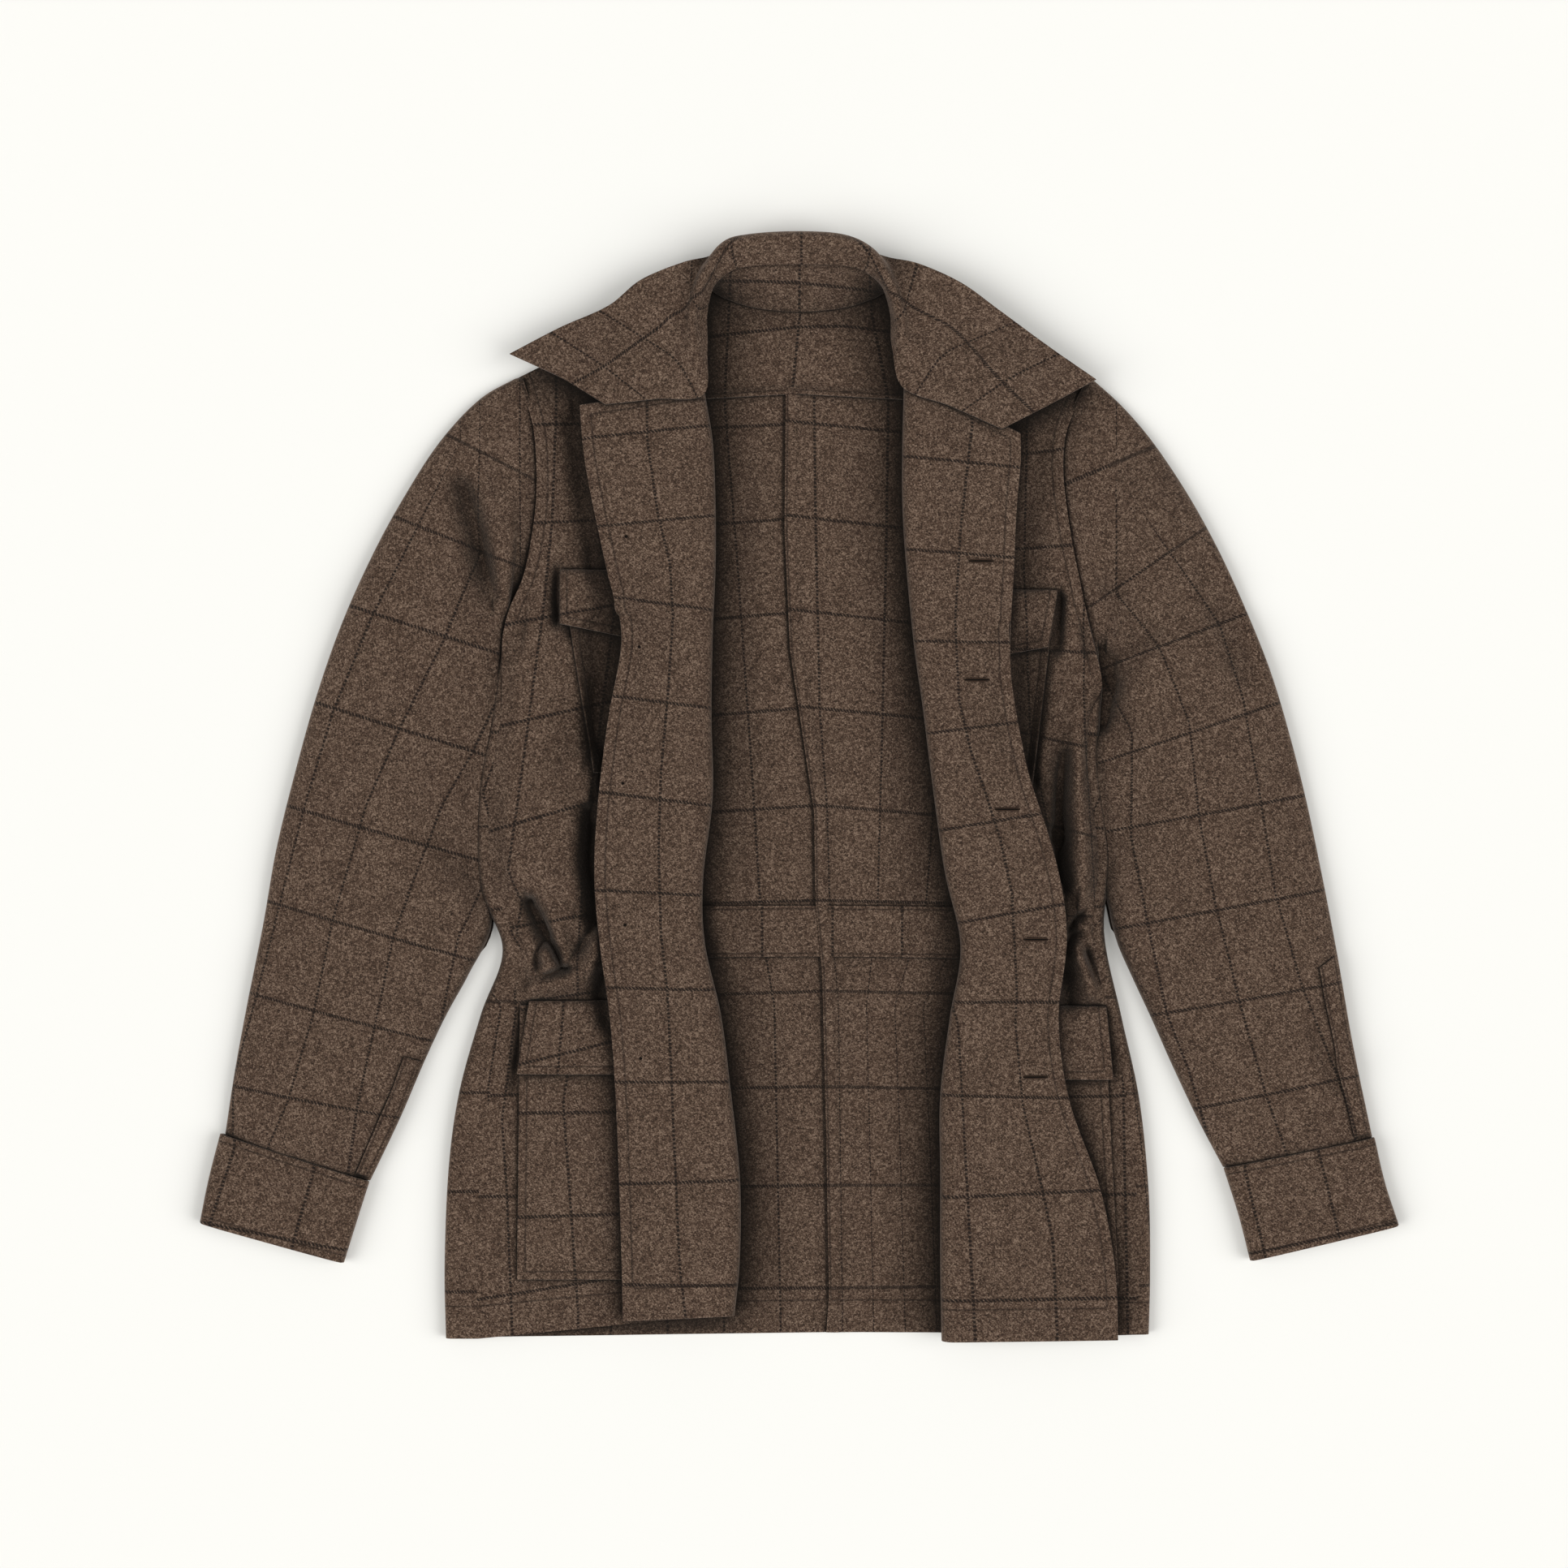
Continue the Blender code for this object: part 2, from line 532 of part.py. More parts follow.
def fall_points():
    """The collar's outer leaf: up from its seam, over the roll and down to its free edge."""
    at = np.linspace(0, len(FALL) - 1, 27)
    seam = spline(columns(FALL, "seam_x", "seam_y", "seam_z"), at)
    roll = spline(columns(FALL, "roll_x", "roll_y", "roll_z"), at)
    edge = spline(columns(FALL, "edge_x", "edge_y", "edge_z"), at)
    crease = spline(columns(FALL, "crease"), at)
    outward = (edge - seam) * (1, 1, 0)
    outward *= ROLL_WIDTH / np.linalg.norm(outward, axis=1, keepdims=True)
    drop = crease * (0, 0, ROLL_WIDTH)
    inside, outside = roll - outward - drop, roll + outward - drop
    leaf = [outside + (edge - outside) * part for part in (1 / 3, 2 / 3)]
    return np.stack([seam, (seam + inside) / 2, inside, roll, outside, *leaf, edge], axis=1)


def stand_points():
    """The collar stand, from the neck seam up to the seam with the outer leaf."""
    at = np.linspace(0, len(STAND) - 1, 21)
    neck = spline(columns(STAND, "neck_x", "neck_y", "neck_z"), at)
    top = spline(columns(STAND, "top_x", "top_y", "top_z"), at)
    rise = np.linspace(0, 1, STAND_STEPS + 1)[None, :, None]
    return neck[:, None] + (top - neck)[:, None] * rise


def layer_tree(front):
    """A search tree of the layer that a front lays over the back, in millimetres."""
    verts, faces = grid_mesh(front[:, : FRONT_STEPS + 1])
    return BVHTree.FromPolygons([tuple(vert) for vert in verts], faces)


def height_of(tree, x, y):
    """Height of a layer's middle at one place."""
    return tree.ray_cast(Vector((x, y, 1000.0)), Vector((0, 0, -1)))[0].z


def roll_start(table, inward, y):
    """Where a front's roll begins at height y."""
    fold = np.interp(y, *columns(table[: FOLD_TOP + 1], "fold_y", "fold_x").T)
    return fold - inward * (1.5 * CLOTH + LAYER_GAP + FOLD_RADIUS)


def patch_points(tree, table, shape, inward, lift, point=0.0):
    """A pocket or flap on a front: the panel's own heights, raised by lift. Point deepens its middle."""
    across = np.linspace(0, 1, 7)
    down = np.linspace(0, 1, 6)
    points = np.zeros((len(down), len(across), 3))
    for i, part in enumerate(down):
        for j, step in enumerate(across):
            y = shape.top_y - (shape.height + point * (1 - abs(2 * step - 1))) * part
            outer = shape.outer_x + inward * shape.taper * part
            room = inward * (roll_start(table, inward, y) - outer) - PATCH_MARGIN
            x = outer + inward * min(shape.width - shape.taper * part, room) * step
            points[i, j] = (x, y, height_of(tree, x, y) + lift)
    return points


def pockets_and_flaps(side, front, table, inward, pockets, flaps):
    """The two patch pockets of a front and the flaps over them."""
    tree = layer_tree(front)
    pocket_lift = CLOTH / 2 + LAYER_GAP + CLOTH / 2
    flap_lift = pocket_lift + CLOTH / 2 + LAYER_GAP + FLAP_CLOTH / 2
    for name, pocket in pockets.items():
        cloth(f"{name}_pocket_{side}", patch_points(tree, table, pocket, inward, pocket_lift), CLOTH)
        flap = flaps[name]
        points = patch_points(tree, table, flap, inward, flap_lift, flap.point)
        cloth(f"{name}_flap_{side}", points, FLAP_CLOTH)


def button_mesh(name):
    """A turned button: a disc with a raised rim round a dished middle, its face down."""
    rim, dish = BUTTON_RADIUS - BUTTON_RIM, BUTTON_THICK / 2 - BUTTON_DISH
    half = BUTTON_THICK / 2
    profile = [(BUTTON_RADIUS, half), (BUTTON_RADIUS, -half), (rim, -half), (rim - 1, -dish)]
    verts, faces = [(0, 0, half)], []
    for radius, z in profile:
        for k in range(BUTTON_SIDES):
            angle = 2 * math.pi * k / BUTTON_SIDES
            verts.append((radius * math.cos(angle), radius * math.sin(angle), z))
    verts.append((0, 0, -dish))
    for k in range(BUTTON_SIDES):
        after = (k + 1) % BUTTON_SIDES
        faces.append((0, 1 + k, 1 + after))
        for ring in range(len(profile) - 1):
            here, there = 1 + ring * BUTTON_SIDES, 1 + (ring + 1) * BUTTON_SIDES
            faces.append((here + k, there + k, there + after, here + after))
        last = 1 + (len(profile) - 1) * BUTTON_SIDES
        faces.append((last + k, len(verts) - 1, last + after))
    mesh = bpy.data.meshes.new(name)
    mesh.from_pydata([Vector(vert) * MM for vert in verts], [], faces)
    return mesh


def buttons(front):
    """The buttons on the outer face of the left front, which lies face down where the strip is turned."""
    verts, faces = grid_mesh(front[:, FRONT_STEPS + FOLD_STEPS:])
    tree = BVHTree.FromPolygons([tuple(vert) for vert in verts], faces)
    below = CLOTH / 2 + LAYER_GAP + BUTTON_THICK / 2
    for number, spot in enumerate(BUTTONS, 1):
        seat, normal, _, _ = tree.ray_cast(Vector((spot.x, spot.y, 1000.0)), Vector((0, 0, -1)))
        up = normal if normal.z > 0 else -normal
        obj = place(bpy.data.objects.new(f"button_{number}", button_mesh(f"button_{number}")), HORN)
        obj.location = (seat - up * below) * MM
        obj.rotation_mode = "QUATERNION"
        obj.rotation_quaternion = Vector((0, 0, 1)).rotation_difference(up)


def build_body(side, table, folds, inward, pockets, flaps):
    """One front with its facing, pockets and flaps, and the half of the back that it is sewn to."""
    front = front_points(table, folds, inward)
    cloth(f"front_{side}", front, CLOTH)
    cloth(f"facing_{side}", facing_points(front), CLOTH)
    cloth(f"back_{side}", back_points(table, inward), CLOTH)
    pockets_and_flaps(side, front, table, inward, pockets, flaps)
    return front


def build_sleeve(side, sleeve, folds, front, inward, cuff, placket):
    """One sleeve as upper and under halves, with its placket and cuff."""
    at = np.linspace(0, len(sleeve) - 1, 20)
    turn = np.linspace(0, math.pi, SLEEVE_STEPS + 1)
    cloth(f"sleeve_upper_{side}", sleeve_surface(sleeve, folds, front, inward, at, turn), CLOTH)
    cloth(f"sleeve_under_{side}", sleeve_under(sleeve, front, inward, at), CLOTH)
    cloth(f"cuff_{side}", cuff_points(cuff), CUFF_CLOTH, loop=True)
    points = placket_points(placket, sleeve, front, inward)
    cloth(f"placket_{side}", points, PLACKET_CLOTH)


def main():
    for obj in list(bpy.data.objects):
        bpy.data.objects.remove(obj)
    left = build_body("left", LEFT_FRONT, LEFT_FRONT_FOLDS, 1, LEFT_POCKETS, LEFT_FLAPS)
    build_body("right", RIGHT_FRONT, RIGHT_FRONT_FOLDS, -1, RIGHT_POCKETS, RIGHT_FLAPS)
    build_sleeve("left", LEFT_SLEEVE, LEFT_SLEEVE_FOLDS, LEFT_FRONT, 1, LEFT_CUFF, LEFT_PLACKET)
    build_sleeve("right", RIGHT_SLEEVE, RIGHT_SLEEVE_FOLDS, RIGHT_FRONT, -1, RIGHT_CUFF, RIGHT_PLACKET)
    cloth("yoke", yoke_points(), CLOTH)
    cloth("waist_casing", casing_points(), CASING_CLOTH)
    cloth("collar_stand", stand_points(), CLOTH)
    cloth("collar_fall", fall_points(), COLLAR_CLOTH)
    buttons(left)


main()
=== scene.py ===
"""Looks of the safari jacket: checked wool cloth with its creases, topstitching and buttons, on a pale floor.

Tables of the jacket's sections are in millimetres. Check lines and creases were read off the picture and
are in picture pixels of 0.6 mm, with x to the right and y down. Meshes are in metres.
"""

import math
from collections import namedtuple

import bpy
import numpy as np
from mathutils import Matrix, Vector
from mathutils.bvhtree import BVHTree


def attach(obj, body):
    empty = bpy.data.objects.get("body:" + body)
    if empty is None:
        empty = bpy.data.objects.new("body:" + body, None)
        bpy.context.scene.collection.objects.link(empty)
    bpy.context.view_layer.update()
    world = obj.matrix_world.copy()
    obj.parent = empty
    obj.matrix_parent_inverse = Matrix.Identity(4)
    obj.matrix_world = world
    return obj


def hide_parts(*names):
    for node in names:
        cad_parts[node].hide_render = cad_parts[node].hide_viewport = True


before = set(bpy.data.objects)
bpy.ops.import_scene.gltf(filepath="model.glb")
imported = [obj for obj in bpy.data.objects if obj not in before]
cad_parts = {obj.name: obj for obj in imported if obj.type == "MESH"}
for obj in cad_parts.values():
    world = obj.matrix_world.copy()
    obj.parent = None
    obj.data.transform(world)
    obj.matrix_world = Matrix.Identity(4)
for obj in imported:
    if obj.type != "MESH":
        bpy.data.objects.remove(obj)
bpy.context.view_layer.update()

MM = 0.001

# Driving sizes of the cloth, its seams and layers and what is sewn on
CLOTH = 1.8
COLLAR_CLOTH = 2.2
CUFF_CLOTH = 3.0
CASING_CLOTH = 1.2
PLACKET_CLOTH = 1.2
FLAP_CLOTH = 2.2
SEAM_GAP = 0.3
LAYER_GAP = 0.5
LOWEST_FRONT = 1.5 * CLOTH + LAYER_GAP
FOLD_RADIUS = 7.0
PATCH_MARGIN = 3.0
POCKET_PUFF = 1.0
FLAP_CURL = 2.4
FLAP_SEAT = 2.4
CASING_TOP = -86.5
CASING_HEIGHT = 38.0
CASING_INSET = 34.0
CASING_BOW = 3.0

# Rounding of the cloth's cut edges, as a share of its thickness, and the least angle in degrees that has it
EDGE_ROUND = 0.3
EDGE_ANGLE = 72

# How far one side of a seam is tucked under the other or lapped over it, and how a lap rises
CENTRE_LAP = 7.0
YOKE_LAP = 4.0
NECK_TUCK = 2.5
ARMHOLE_TUCK = 3.0
SIDE_TUCK = 2.2
LAP_RISE = CLOTH + 0.1
LAP_RUN = 4.0
CENTRE_LAP_FROM = 3.5
YOKE_LAP_FROM = 3.0
NECK_HALF = 75

# Topstitching, by its distance from the first and last columns and the first and last rows of a piece's grid
Sewn = namedtuple("Sewn", "first last start end", defaults=(None, None, None, None))
FRONT_SEWN = Sewn(first=8.5, start=24)
FACING_SEWN = Sewn(last=8, start=24, end=8)
LEFT_BACK_SEWN = Sewn(first=8.5, start=24, end=3)
RIGHT_BACK_SEWN = Sewn(first=1.5, start=24, end=3)
YOKE_SEWN = Sewn(start=3)
CASING_SEWN = Sewn(start=2.5, end=2.5)
STAND_SEWN = Sewn(last=2)
PATCH_SEWN = Sewn(first=6, last=6, end=6)
SLEEVE_SEWN = Sewn(start=1.5)
PLACKET_SEWN = Sewn(first=2, last=2)
CUFF_SEWN = Sewn(start=5, end=6)
UNSEWN = Sewn()

# A distance that is past all stitches, and a height above all the cloth
NOWHERE = 1000.0
OVERHEAD = 1000.0

# Soft waves of the cloth: their lengths across and along it and where they start, then their heights
WAVES = [(13.0, 31.0, 0.7), (29.0, -17.0, 2.1), (47.0, 43.0, 4.0), (-19.0, 11.0, 5.2), (8.0, -37.0, 1.3)]
FRONT_WAVES = 0.35
STRIP_WAVES = 0.4
BACK_WAVES = 0.45
SLEEVE_WAVES = 0.5
CUFF_WAVES = 0.4

# Creases: the softer side's width to the crisp one's, and how uneven their depth is
SOFT_SIDE = 1.7
CREASE_WANDER = 0.35

# Mesh steps of the panels, finer than the solids
BACK_ROWS = 190
FRONT_STEPS = 84
FOLD_STEPS = 10
STRIP_STEPS = 24
SIDE_STEPS = 8
WRAP_STEPS = 6
BACK_STEPS = 48
SLEEVE_ROWS = 130
SLEEVE_STEPS = 48
UNDER_STEPS = 15
PLACKET_ROWS = 30
PLACKET_STEPS = 6
CUFF_ROWS = 18
CUFF_STEPS = 41
YOKE_ROWS = 32
YOKE_STEPS = 121
CASING_ROWS = 16
CASING_STEPS = 140
STAND_ROWS = 150
STAND_STEPS = 14
FALL_ROWS = 200
PATCH_STEPS = 30
PATCH_ROW = 4
LEAST_PATCH_ROWS = 14

# Shares of even spacing where steps lie closer at both ends, and how much closer rows lie at a seam
EVEN_SHARE = 0.35
BACK_CLOSER = 1.5
YOKE_CLOSER = 1.4

# The picture's scale, the place of the jacket's origin on it and its size, in pixels
PIXEL = 0.6
PICTURE_X = 985.0
PICTURE_Y = 972.0
PICTURE_SIZE = 1932.0

# Repeats of the windowpane check across and along the cloth
WARP_REPEAT = 52.0
WEFT_REPEAT = 71.0

# Broad lamps to both sides and at the hem, tilted in degrees from overhead, a dim sky, the camera and the
# floor, in metres but for the sensor's width in millimetres
Lamp = namedtuple("Lamp", "name strength spread to_hem to_right")
SKY_STRENGTH = 0.24
LAMPS = [
    Lamp("lamp_left", 2.06, 46, 8, -52),
    Lamp("lamp_right", 2.06, 46, 8, 52),
    Lamp("lamp_hem", 0.70, 70, 26, 0),
]
CAMERA_HEIGHT = 3.2
JACKET_PLANE = 0.014
SENSOR = 36.0
FAR_PLANE = 50.0
FLOOR_HALF = 20.0
FLOOR_DROP = 0.0003

FrontRow = namedtuple(
    "FrontRow", "side_x side_y fold_x fold_y edge_x edge_y side_z fold_z edge_z puff wrap"
)
SleeveRow = namedtuple("SleeveRow", "outer_x outer_y inner_x inner_y bulge crown")
CuffRow = namedtuple("CuffRow", "outer_x outer_y inner_x inner_y crown")
FallRow = namedtuple(
    "FallRow", "seam_x seam_y seam_z roll_x roll_y roll_z edge_x edge_y edge_z crease"
)
StandRow = namedtuple("StandRow", "neck_x neck_y neck_z top_x top_y top_z")
YokeRow = namedtuple("YokeRow", "seam_x top_x top_y")
CentreRow = namedtuple("CentreRow", "y x")
Pocket = namedtuple("Pocket", "outer_x top_y width height taper")
Flap = namedtuple("Flap", "outer_x top_y width height taper point")
Fold = namedtuple("Fold", "x0 y0 x1 y1 width height")
Placket = namedtuple("Placket", "first_row last_row near far")
Hang = namedtuple("Hang", "lift dip ease")
Crease = namedtuple("Crease", "x0 y0 x1 y1 x2 y2 width height")
Check = namedtuple("Check", "warps wefts")
Side = namedtuple(
    "Side",
    "name inward front front_folds front_creases strip_creases pockets flaps back_sewn"
    " sleeve sleeve_folds sleeve_creases hang placket cuff checks",
)


def rows_of(kind, *rows):
    """Rows of numbers under the named columns of a kind of row."""
    return [kind(*row) for row in rows]


# Sections of each front, hem first. Side is the outline or armhole, fold the rolled edge and edge the
# free edge of the turned strip. Rows past FOLD_TOP run up the neck to the shoulder and have no strip.
FOLD_TOP = 13
ARMPIT = 9
ARMPIT_RUN = 1.2
WAIST = 5
LEFT_FRONT = rows_of(
    FrontRow,
    (-262, -407, -48, -389, -130, -393, 9.5, 8, 17, 1.0, 24),
    (-263, -353, -44, -347, -131, -350, 9.5, 8, 17, 1.5, 24),
    (-260, -281, -44, -287, -133, -287, 9.5, 8, 19, 1.5, 24),
    (-252, -224, -51, -221, -136, -218, 9.5, 8, 21, 1.5, 23),
    (-236, -167, -58, -167, -140, -167, 9.5, 8, 21, 1.0, 20),
    (-220, -119, -70, -113, -147, -116, 9.5, 8, 20, 0.5, 14),
    (-237, -71, -71, -65, -151, -65, 9.5, 8, 21, 2.5, 10),
    (-238, -5, -64, -5, -148, -5, 9.5, 8, 21, 2.0, 9),
    (-228, 55, -65, 55, -140, 55, 9.5, 8, 22, -1.0, 8),
    (-218, 123, -64, 115, -131, 112, 9.5, 8, 21, -1.0, 8),
    (-204, 160, -62, 163, -141, 157, 10, 8, 20, 0.0, 0.3),
    (-196, 205, -62, 211, -152, 208, 10, 8, 20, 0.5, 0.3),
    (-195, 238, -64, 256, -159, 247, 10, 8, 21, 0.5, 0.3),
    (-197, 265, -70, 295, -162, 283, 10, 8, 22, 0.0, 0.3),
    (-202, 285, -72, 334, -162, 283, 8, 6, 22, 0.0, 0.3),
    (-208, 305, -72, 373, -162, 283, 3.2, 3.2, 22, 0.0, 0.3),
)
RIGHT_FRONT = rows_of(
    FrontRow,
    (259, -404, 105, -408, 235, -407, 9.5, 8, 17, 1.0, 9),
    (260, -359, 104, -353, 233, -356, 9.5, 8, 17, 1.0, 9),
    (259, -299, 104, -287, 222, -296, 9.5, 8, 17, 1.0, 9),
    (252, -230, 104, -227, 199, -230, 9.5, 8, 18, 1.0, 9),
    (239, -170, 111, -170, 191, -170, 9.5, 8, 19, 1.0, 9),
    (226, -107, 119, -116, 197, -107, 9.5, 8, 20, 1.0, 9),
    (230, -50, 107, -59, 188, -50, 9.5, 8, 20, 2.0, 9),
    (222, 13, 97, 13, 168, 13, 9.5, 8, 20, 1.5, 9),
    (223, 55, 91, 61, 159, 58, 9.5, 8, 21, -0.5, 9),
    (224, 82, 85, 103, 155, 100, 9.5, 8, 21, -1.0, 9),
    (213, 130, 79, 163, 158, 160, 10, 8, 20, 0.0, 0.3),
    (202, 184, 76, 211, 160, 205, 10, 8, 20, 0.5, 0.3),
    (196, 229, 76, 256, 163, 241, 10, 8, 21, 0.5, 0.3),
    (197, 259, 77, 301, 163, 262, 10, 8, 22, 0.0, 0.3),
    (204, 280, 75, 337, 163, 262, 8, 6, 22, 0.0, 0.3),
    (216, 304, 72, 373, 163, 262, 3.2, 3.2, 22, 0.0, 0.3),
)

# Folds raised (or sunk, below zero) in each front: the waist is drawn in by its casing.
LEFT_FRONT_FOLDS = rows_of(
    Fold,
    (-199, -84, -174, -130, 6, -3.5),
    (-214, -110, -196, -136, 6, 4.0),
    (-189, -121, -186, -128, 6, 5.0),
    (-204, -143, -152, -122, 8, 5.0),
    (-170, -96, -152, -112, 7, 4.0),
    (-220, -40, -180, -66, 22, 2.5),
    (-160, -60, -154, -30, 7, -3.0),
)
RIGHT_FRONT_FOLDS = rows_of(
    Fold,
    (208, -112, 222, -142, 5, -3.5),
    (204, -118, 216, -150, 6, 4.5),
    (215, -104, 224, -112, 5, 3.5),
    (205, 30, 212, -70, 11, 2.5),
    (190, 30, 196, -36, 8, -3.0),
    (214, 118, 219, 92, 5, -3.0),
)

# Sections of each sleeve, armhole first, from its outer edge to the edge beside the body
LEFT_SLEEVE = rows_of(
    SleeveRow,
    (-208, 305, -218, 123, 8, 10),
    (-237, 288, -221, 103, 3, 11),
    (-266, 257, -224, 79, 0, 13),
    (-292, 217, -229, 49, 0, 15),
    (-315, 175, -234, 16, 0, 16),
    (-338, 124, -237, -20, 0, 17),
    (-357, 70, -237, -60, 0, 18),
    (-373, 13, -229, -100, 0, 18),
    (-387, -44, -246, -137, 0, 17),
    (-397, -101, -263, -168, 0, 17),
    (-409, -161, -279, -202, 0, 16),
    (-418, -210, -297, -244, 0, 15),
    (-425, -256, -319, -290, 0, 13),
)
RIGHT_SLEEVE = rows_of(
    SleeveRow,
    (216, 304, 224, 82, -8, 10),
    (239, 283, 226, 61, -2, 11),
    (262, 256, 224, 37, 0, 13),
    (288, 217, 223, 13, 0, 15),
    (311, 175, 227, -17, 0, 16),
    (332, 129, 231, -50, 0, 17),
    (349, 86, 230, -84, 0, 18),
    (362, 43, 236, -112, 0, 18),
    (375, -8, 248, -140, 0, 17),
    (387, -65, 262, -170, 0, 17),
    (398, -122, 278, -206, 0, 16),
    (410, -191, 297, -246, 0, 15),
    (424, -258, 315, -280, 0, 13),
)
LEFT_SLEEVE_FOLDS = rows_of(
    Fold,
    (-249, 223, -234, 160, 10, -4.0),
    (-214, 205, -219, 150, 12, 1.5),
    (-292, 120, -250, 20, 16, -1.5),
)
RIGHT_SLEEVE_FOLDS = rows_of(
    Fold,
    (236, 78, 248, 98, 8, -4.5),
    (250, 112, 330, 140, 12, -2.5),
    (252, 62, 306, 78, 13, 2.5),
    (314, 130, 340, 66, 12, -2.5),
)

# How the sleeves lie: their edges' height, where the arm parts from the body and how full they are, and on
# each side how far the inner edge is lifted, how far the arch dips there and how softly it comes down to it
SLEEVE_EDGE_Z = CLOTH + 2 * LAYER_GAP
SLEEVE_CLEAR = -2.0
ARM_PARTS = -92.0
ARM_PARTS_RUN = 25.0
BESIDE_RUN = 60.0
HANG_FROM = 0.4
SLEEVE_SQUARENESS = 0.62
SLEEVE_FULLNESS = 4.5
SLEEVE_STILL = 0.7
ARMHOLE_STILL = 0.4
LEFT_HANG = Hang(5.2, 0.62, 0.16)
RIGHT_HANG = Hang(5.8, 0.45, 0.08)

# Sections of each cuff, sleeve end first, and the plackets by rows and turns round the sleeve's arch
LEFT_CUFF = rows_of(
    CuffRow,
    (-427.7, -255.5, -319.9, -290.2, 14),
    (-436.5, -290.0, -330.0, -322.0, 14),
    (-443.0, -322.0, -339.0, -351.0, 13),
)
RIGHT_CUFF = rows_of(
    CuffRow,
    (424.7, -258.3, 315.6, -280.3, 14),
    (432.5, -292.0, 327.0, -316.0, 14),
    (443.0, -324.0, 335.5, -349.5, 13),
)
CUFF_SQUARENESS = 0.55
CUFF_EDGE = 0.4
CUFF_FLAT = 1.3
LEFT_PLACKET = Placket(10.0, 11.95, 0.74, 0.90)
RIGHT_PLACKET = Placket(10.0, 11.95, 0.28, 0.12)

# The turned-down collar: gorge or stand seam, roll and free edge, from the left tip round to the right, and
# where the check lies on it
FALL = rows_of(
    FallRow,
    (-143, 283, 26.6, -174, 302, 26, -214, 321, 19, 0),
    (-106, 287, 26.8, -136, 312, 27, -177, 340, 22, 0),
    (-70, 291, 26, -84, 318, 29, -141, 356, 24, 0.4),
    (-71, 330, 23, -79, 331, 32, -117, 375, 25, 1),
    (-71, 352, 24, -79, 351, 32.5, -86, 388, 24, 1),
    (-64, 375, 26, -71, 376, 34.5, -66, 393, 18, 1),
    (-51, 387, 27, -56, 396, 37, -52, 400, 10, 1),
    (-34, 391, 28, -36, 402, 39, -36, 400, 3, 1),
    (0, 392, 29, 0, 404, 40, 0, 401, 2, 1),
    (34, 391, 28, 33, 401.5, 39, 34, 400, 3, 1),
    (50, 386, 27, 54, 391, 37, 50, 397, 10, 1),
    (62, 374, 26, 67, 371, 34.5, 66, 392, 18, 1),
    (70, 351, 24, 75, 348, 32.5, 88, 387, 24, 1),
    (71, 332, 23, 77, 330, 32, 119, 373, 25, 1),
    (75, 297, 26, 90, 325, 29, 147, 353, 24, 0.4),
    (112, 281.5, 26.8, 146, 307, 27, 184, 326, 22, 0),
    (149, 265, 26.6, 186, 284, 26, 219, 302, 20, 0),
)
FALL_RUNS = (9, 5, 5, 24)
FALL_SMOOTHING = 8
ROLL_WIDTH = 6.0
COLLAR_LIP = 4.0
GORGE_ROWS = 2
FALL_CHECK_COLUMN = 14
FALL_CHECK_EDGE = 30
FALL_CHECK_FROM = 100
FALL_CHECK_DROP = 0.16
NECK_CENTRE = np.array([0.0, 335.0, 20.0])
STAND = rows_of(
    StandRow,
    (-71, 298, 9.5, -71, 302, 22),
    (-70, 328, 8.5, -71, 330, 22),
    (-70, 350, 6.5, -71, 352, 23),
    (-69, 370, 3.8, -64, 374, 25),
    (-55, 364, 2.9, -51, 386, 26),
    (-33, 357, 2.9, -34, 390, 27),
    (0, 354, 2.9, 0, 391, 28),
    (33, 357, 2.9, 34, 390, 27),
    (55, 364, 2.9, 50, 385, 26),
    (69, 370, 3.8, 62, 373, 25),
    (70, 350, 6.5, 70, 351, 23),
    (70, 328, 8.5, 71, 332, 22),
    (73, 304, 9.5, 74, 307, 22),
)

# The back yoke lies flat between the shoulder lines, the neck and its seam to the back panels.
YOKE_SEAM_SIDE = 286
YOKE_SEAM_CENTRE = 297
YOKE = rows_of(
    YokeRow,
    (-201.5, -207, 304),
    (-138, -140, 336),
    (-73, -73, 372),
    (-55, -55, 363),
    (-33, -33, 356),
    (-3, 0, 353),
    (33, 33, 356),
    (55, 55, 363),
    (73, 73, 372),
    (138, 140, 339),
    (206, 215, 303),
)
CENTRE_BACK = rows_of(
    CentreRow,
    (-403, 27), (-376, 29), (-257, 27), (-137, 24),
    (-83, 19), (-17, 18), (43, 9), (103, 0),
    (193, -4), (300, -3),
)

# Patch pockets and their flaps, by the outer top corner, the size, the taper and the depth of a flap's point
LEFT_POCKETS = {"chest": Pocket(-176, 158, 100, 146, 24), "hip": Pocket(-207, -160, 115, 203, -2)}
RIGHT_POCKETS = {"chest": Pocket(190, 144, 100, 146, 18), "hip": Pocket(226, -164, 112, 203, -10)}
LEFT_FLAPS = {"chest": Flap(-177, 162, 102, 40, 0, 10), "hip": Flap(-200, -157, 110, 54, -9, 0)}
RIGHT_FLAPS = {"chest": Flap(191, 147, 102, 42, 7, 8), "hip": Flap(227, -161, 113, 54, -5, 0)}

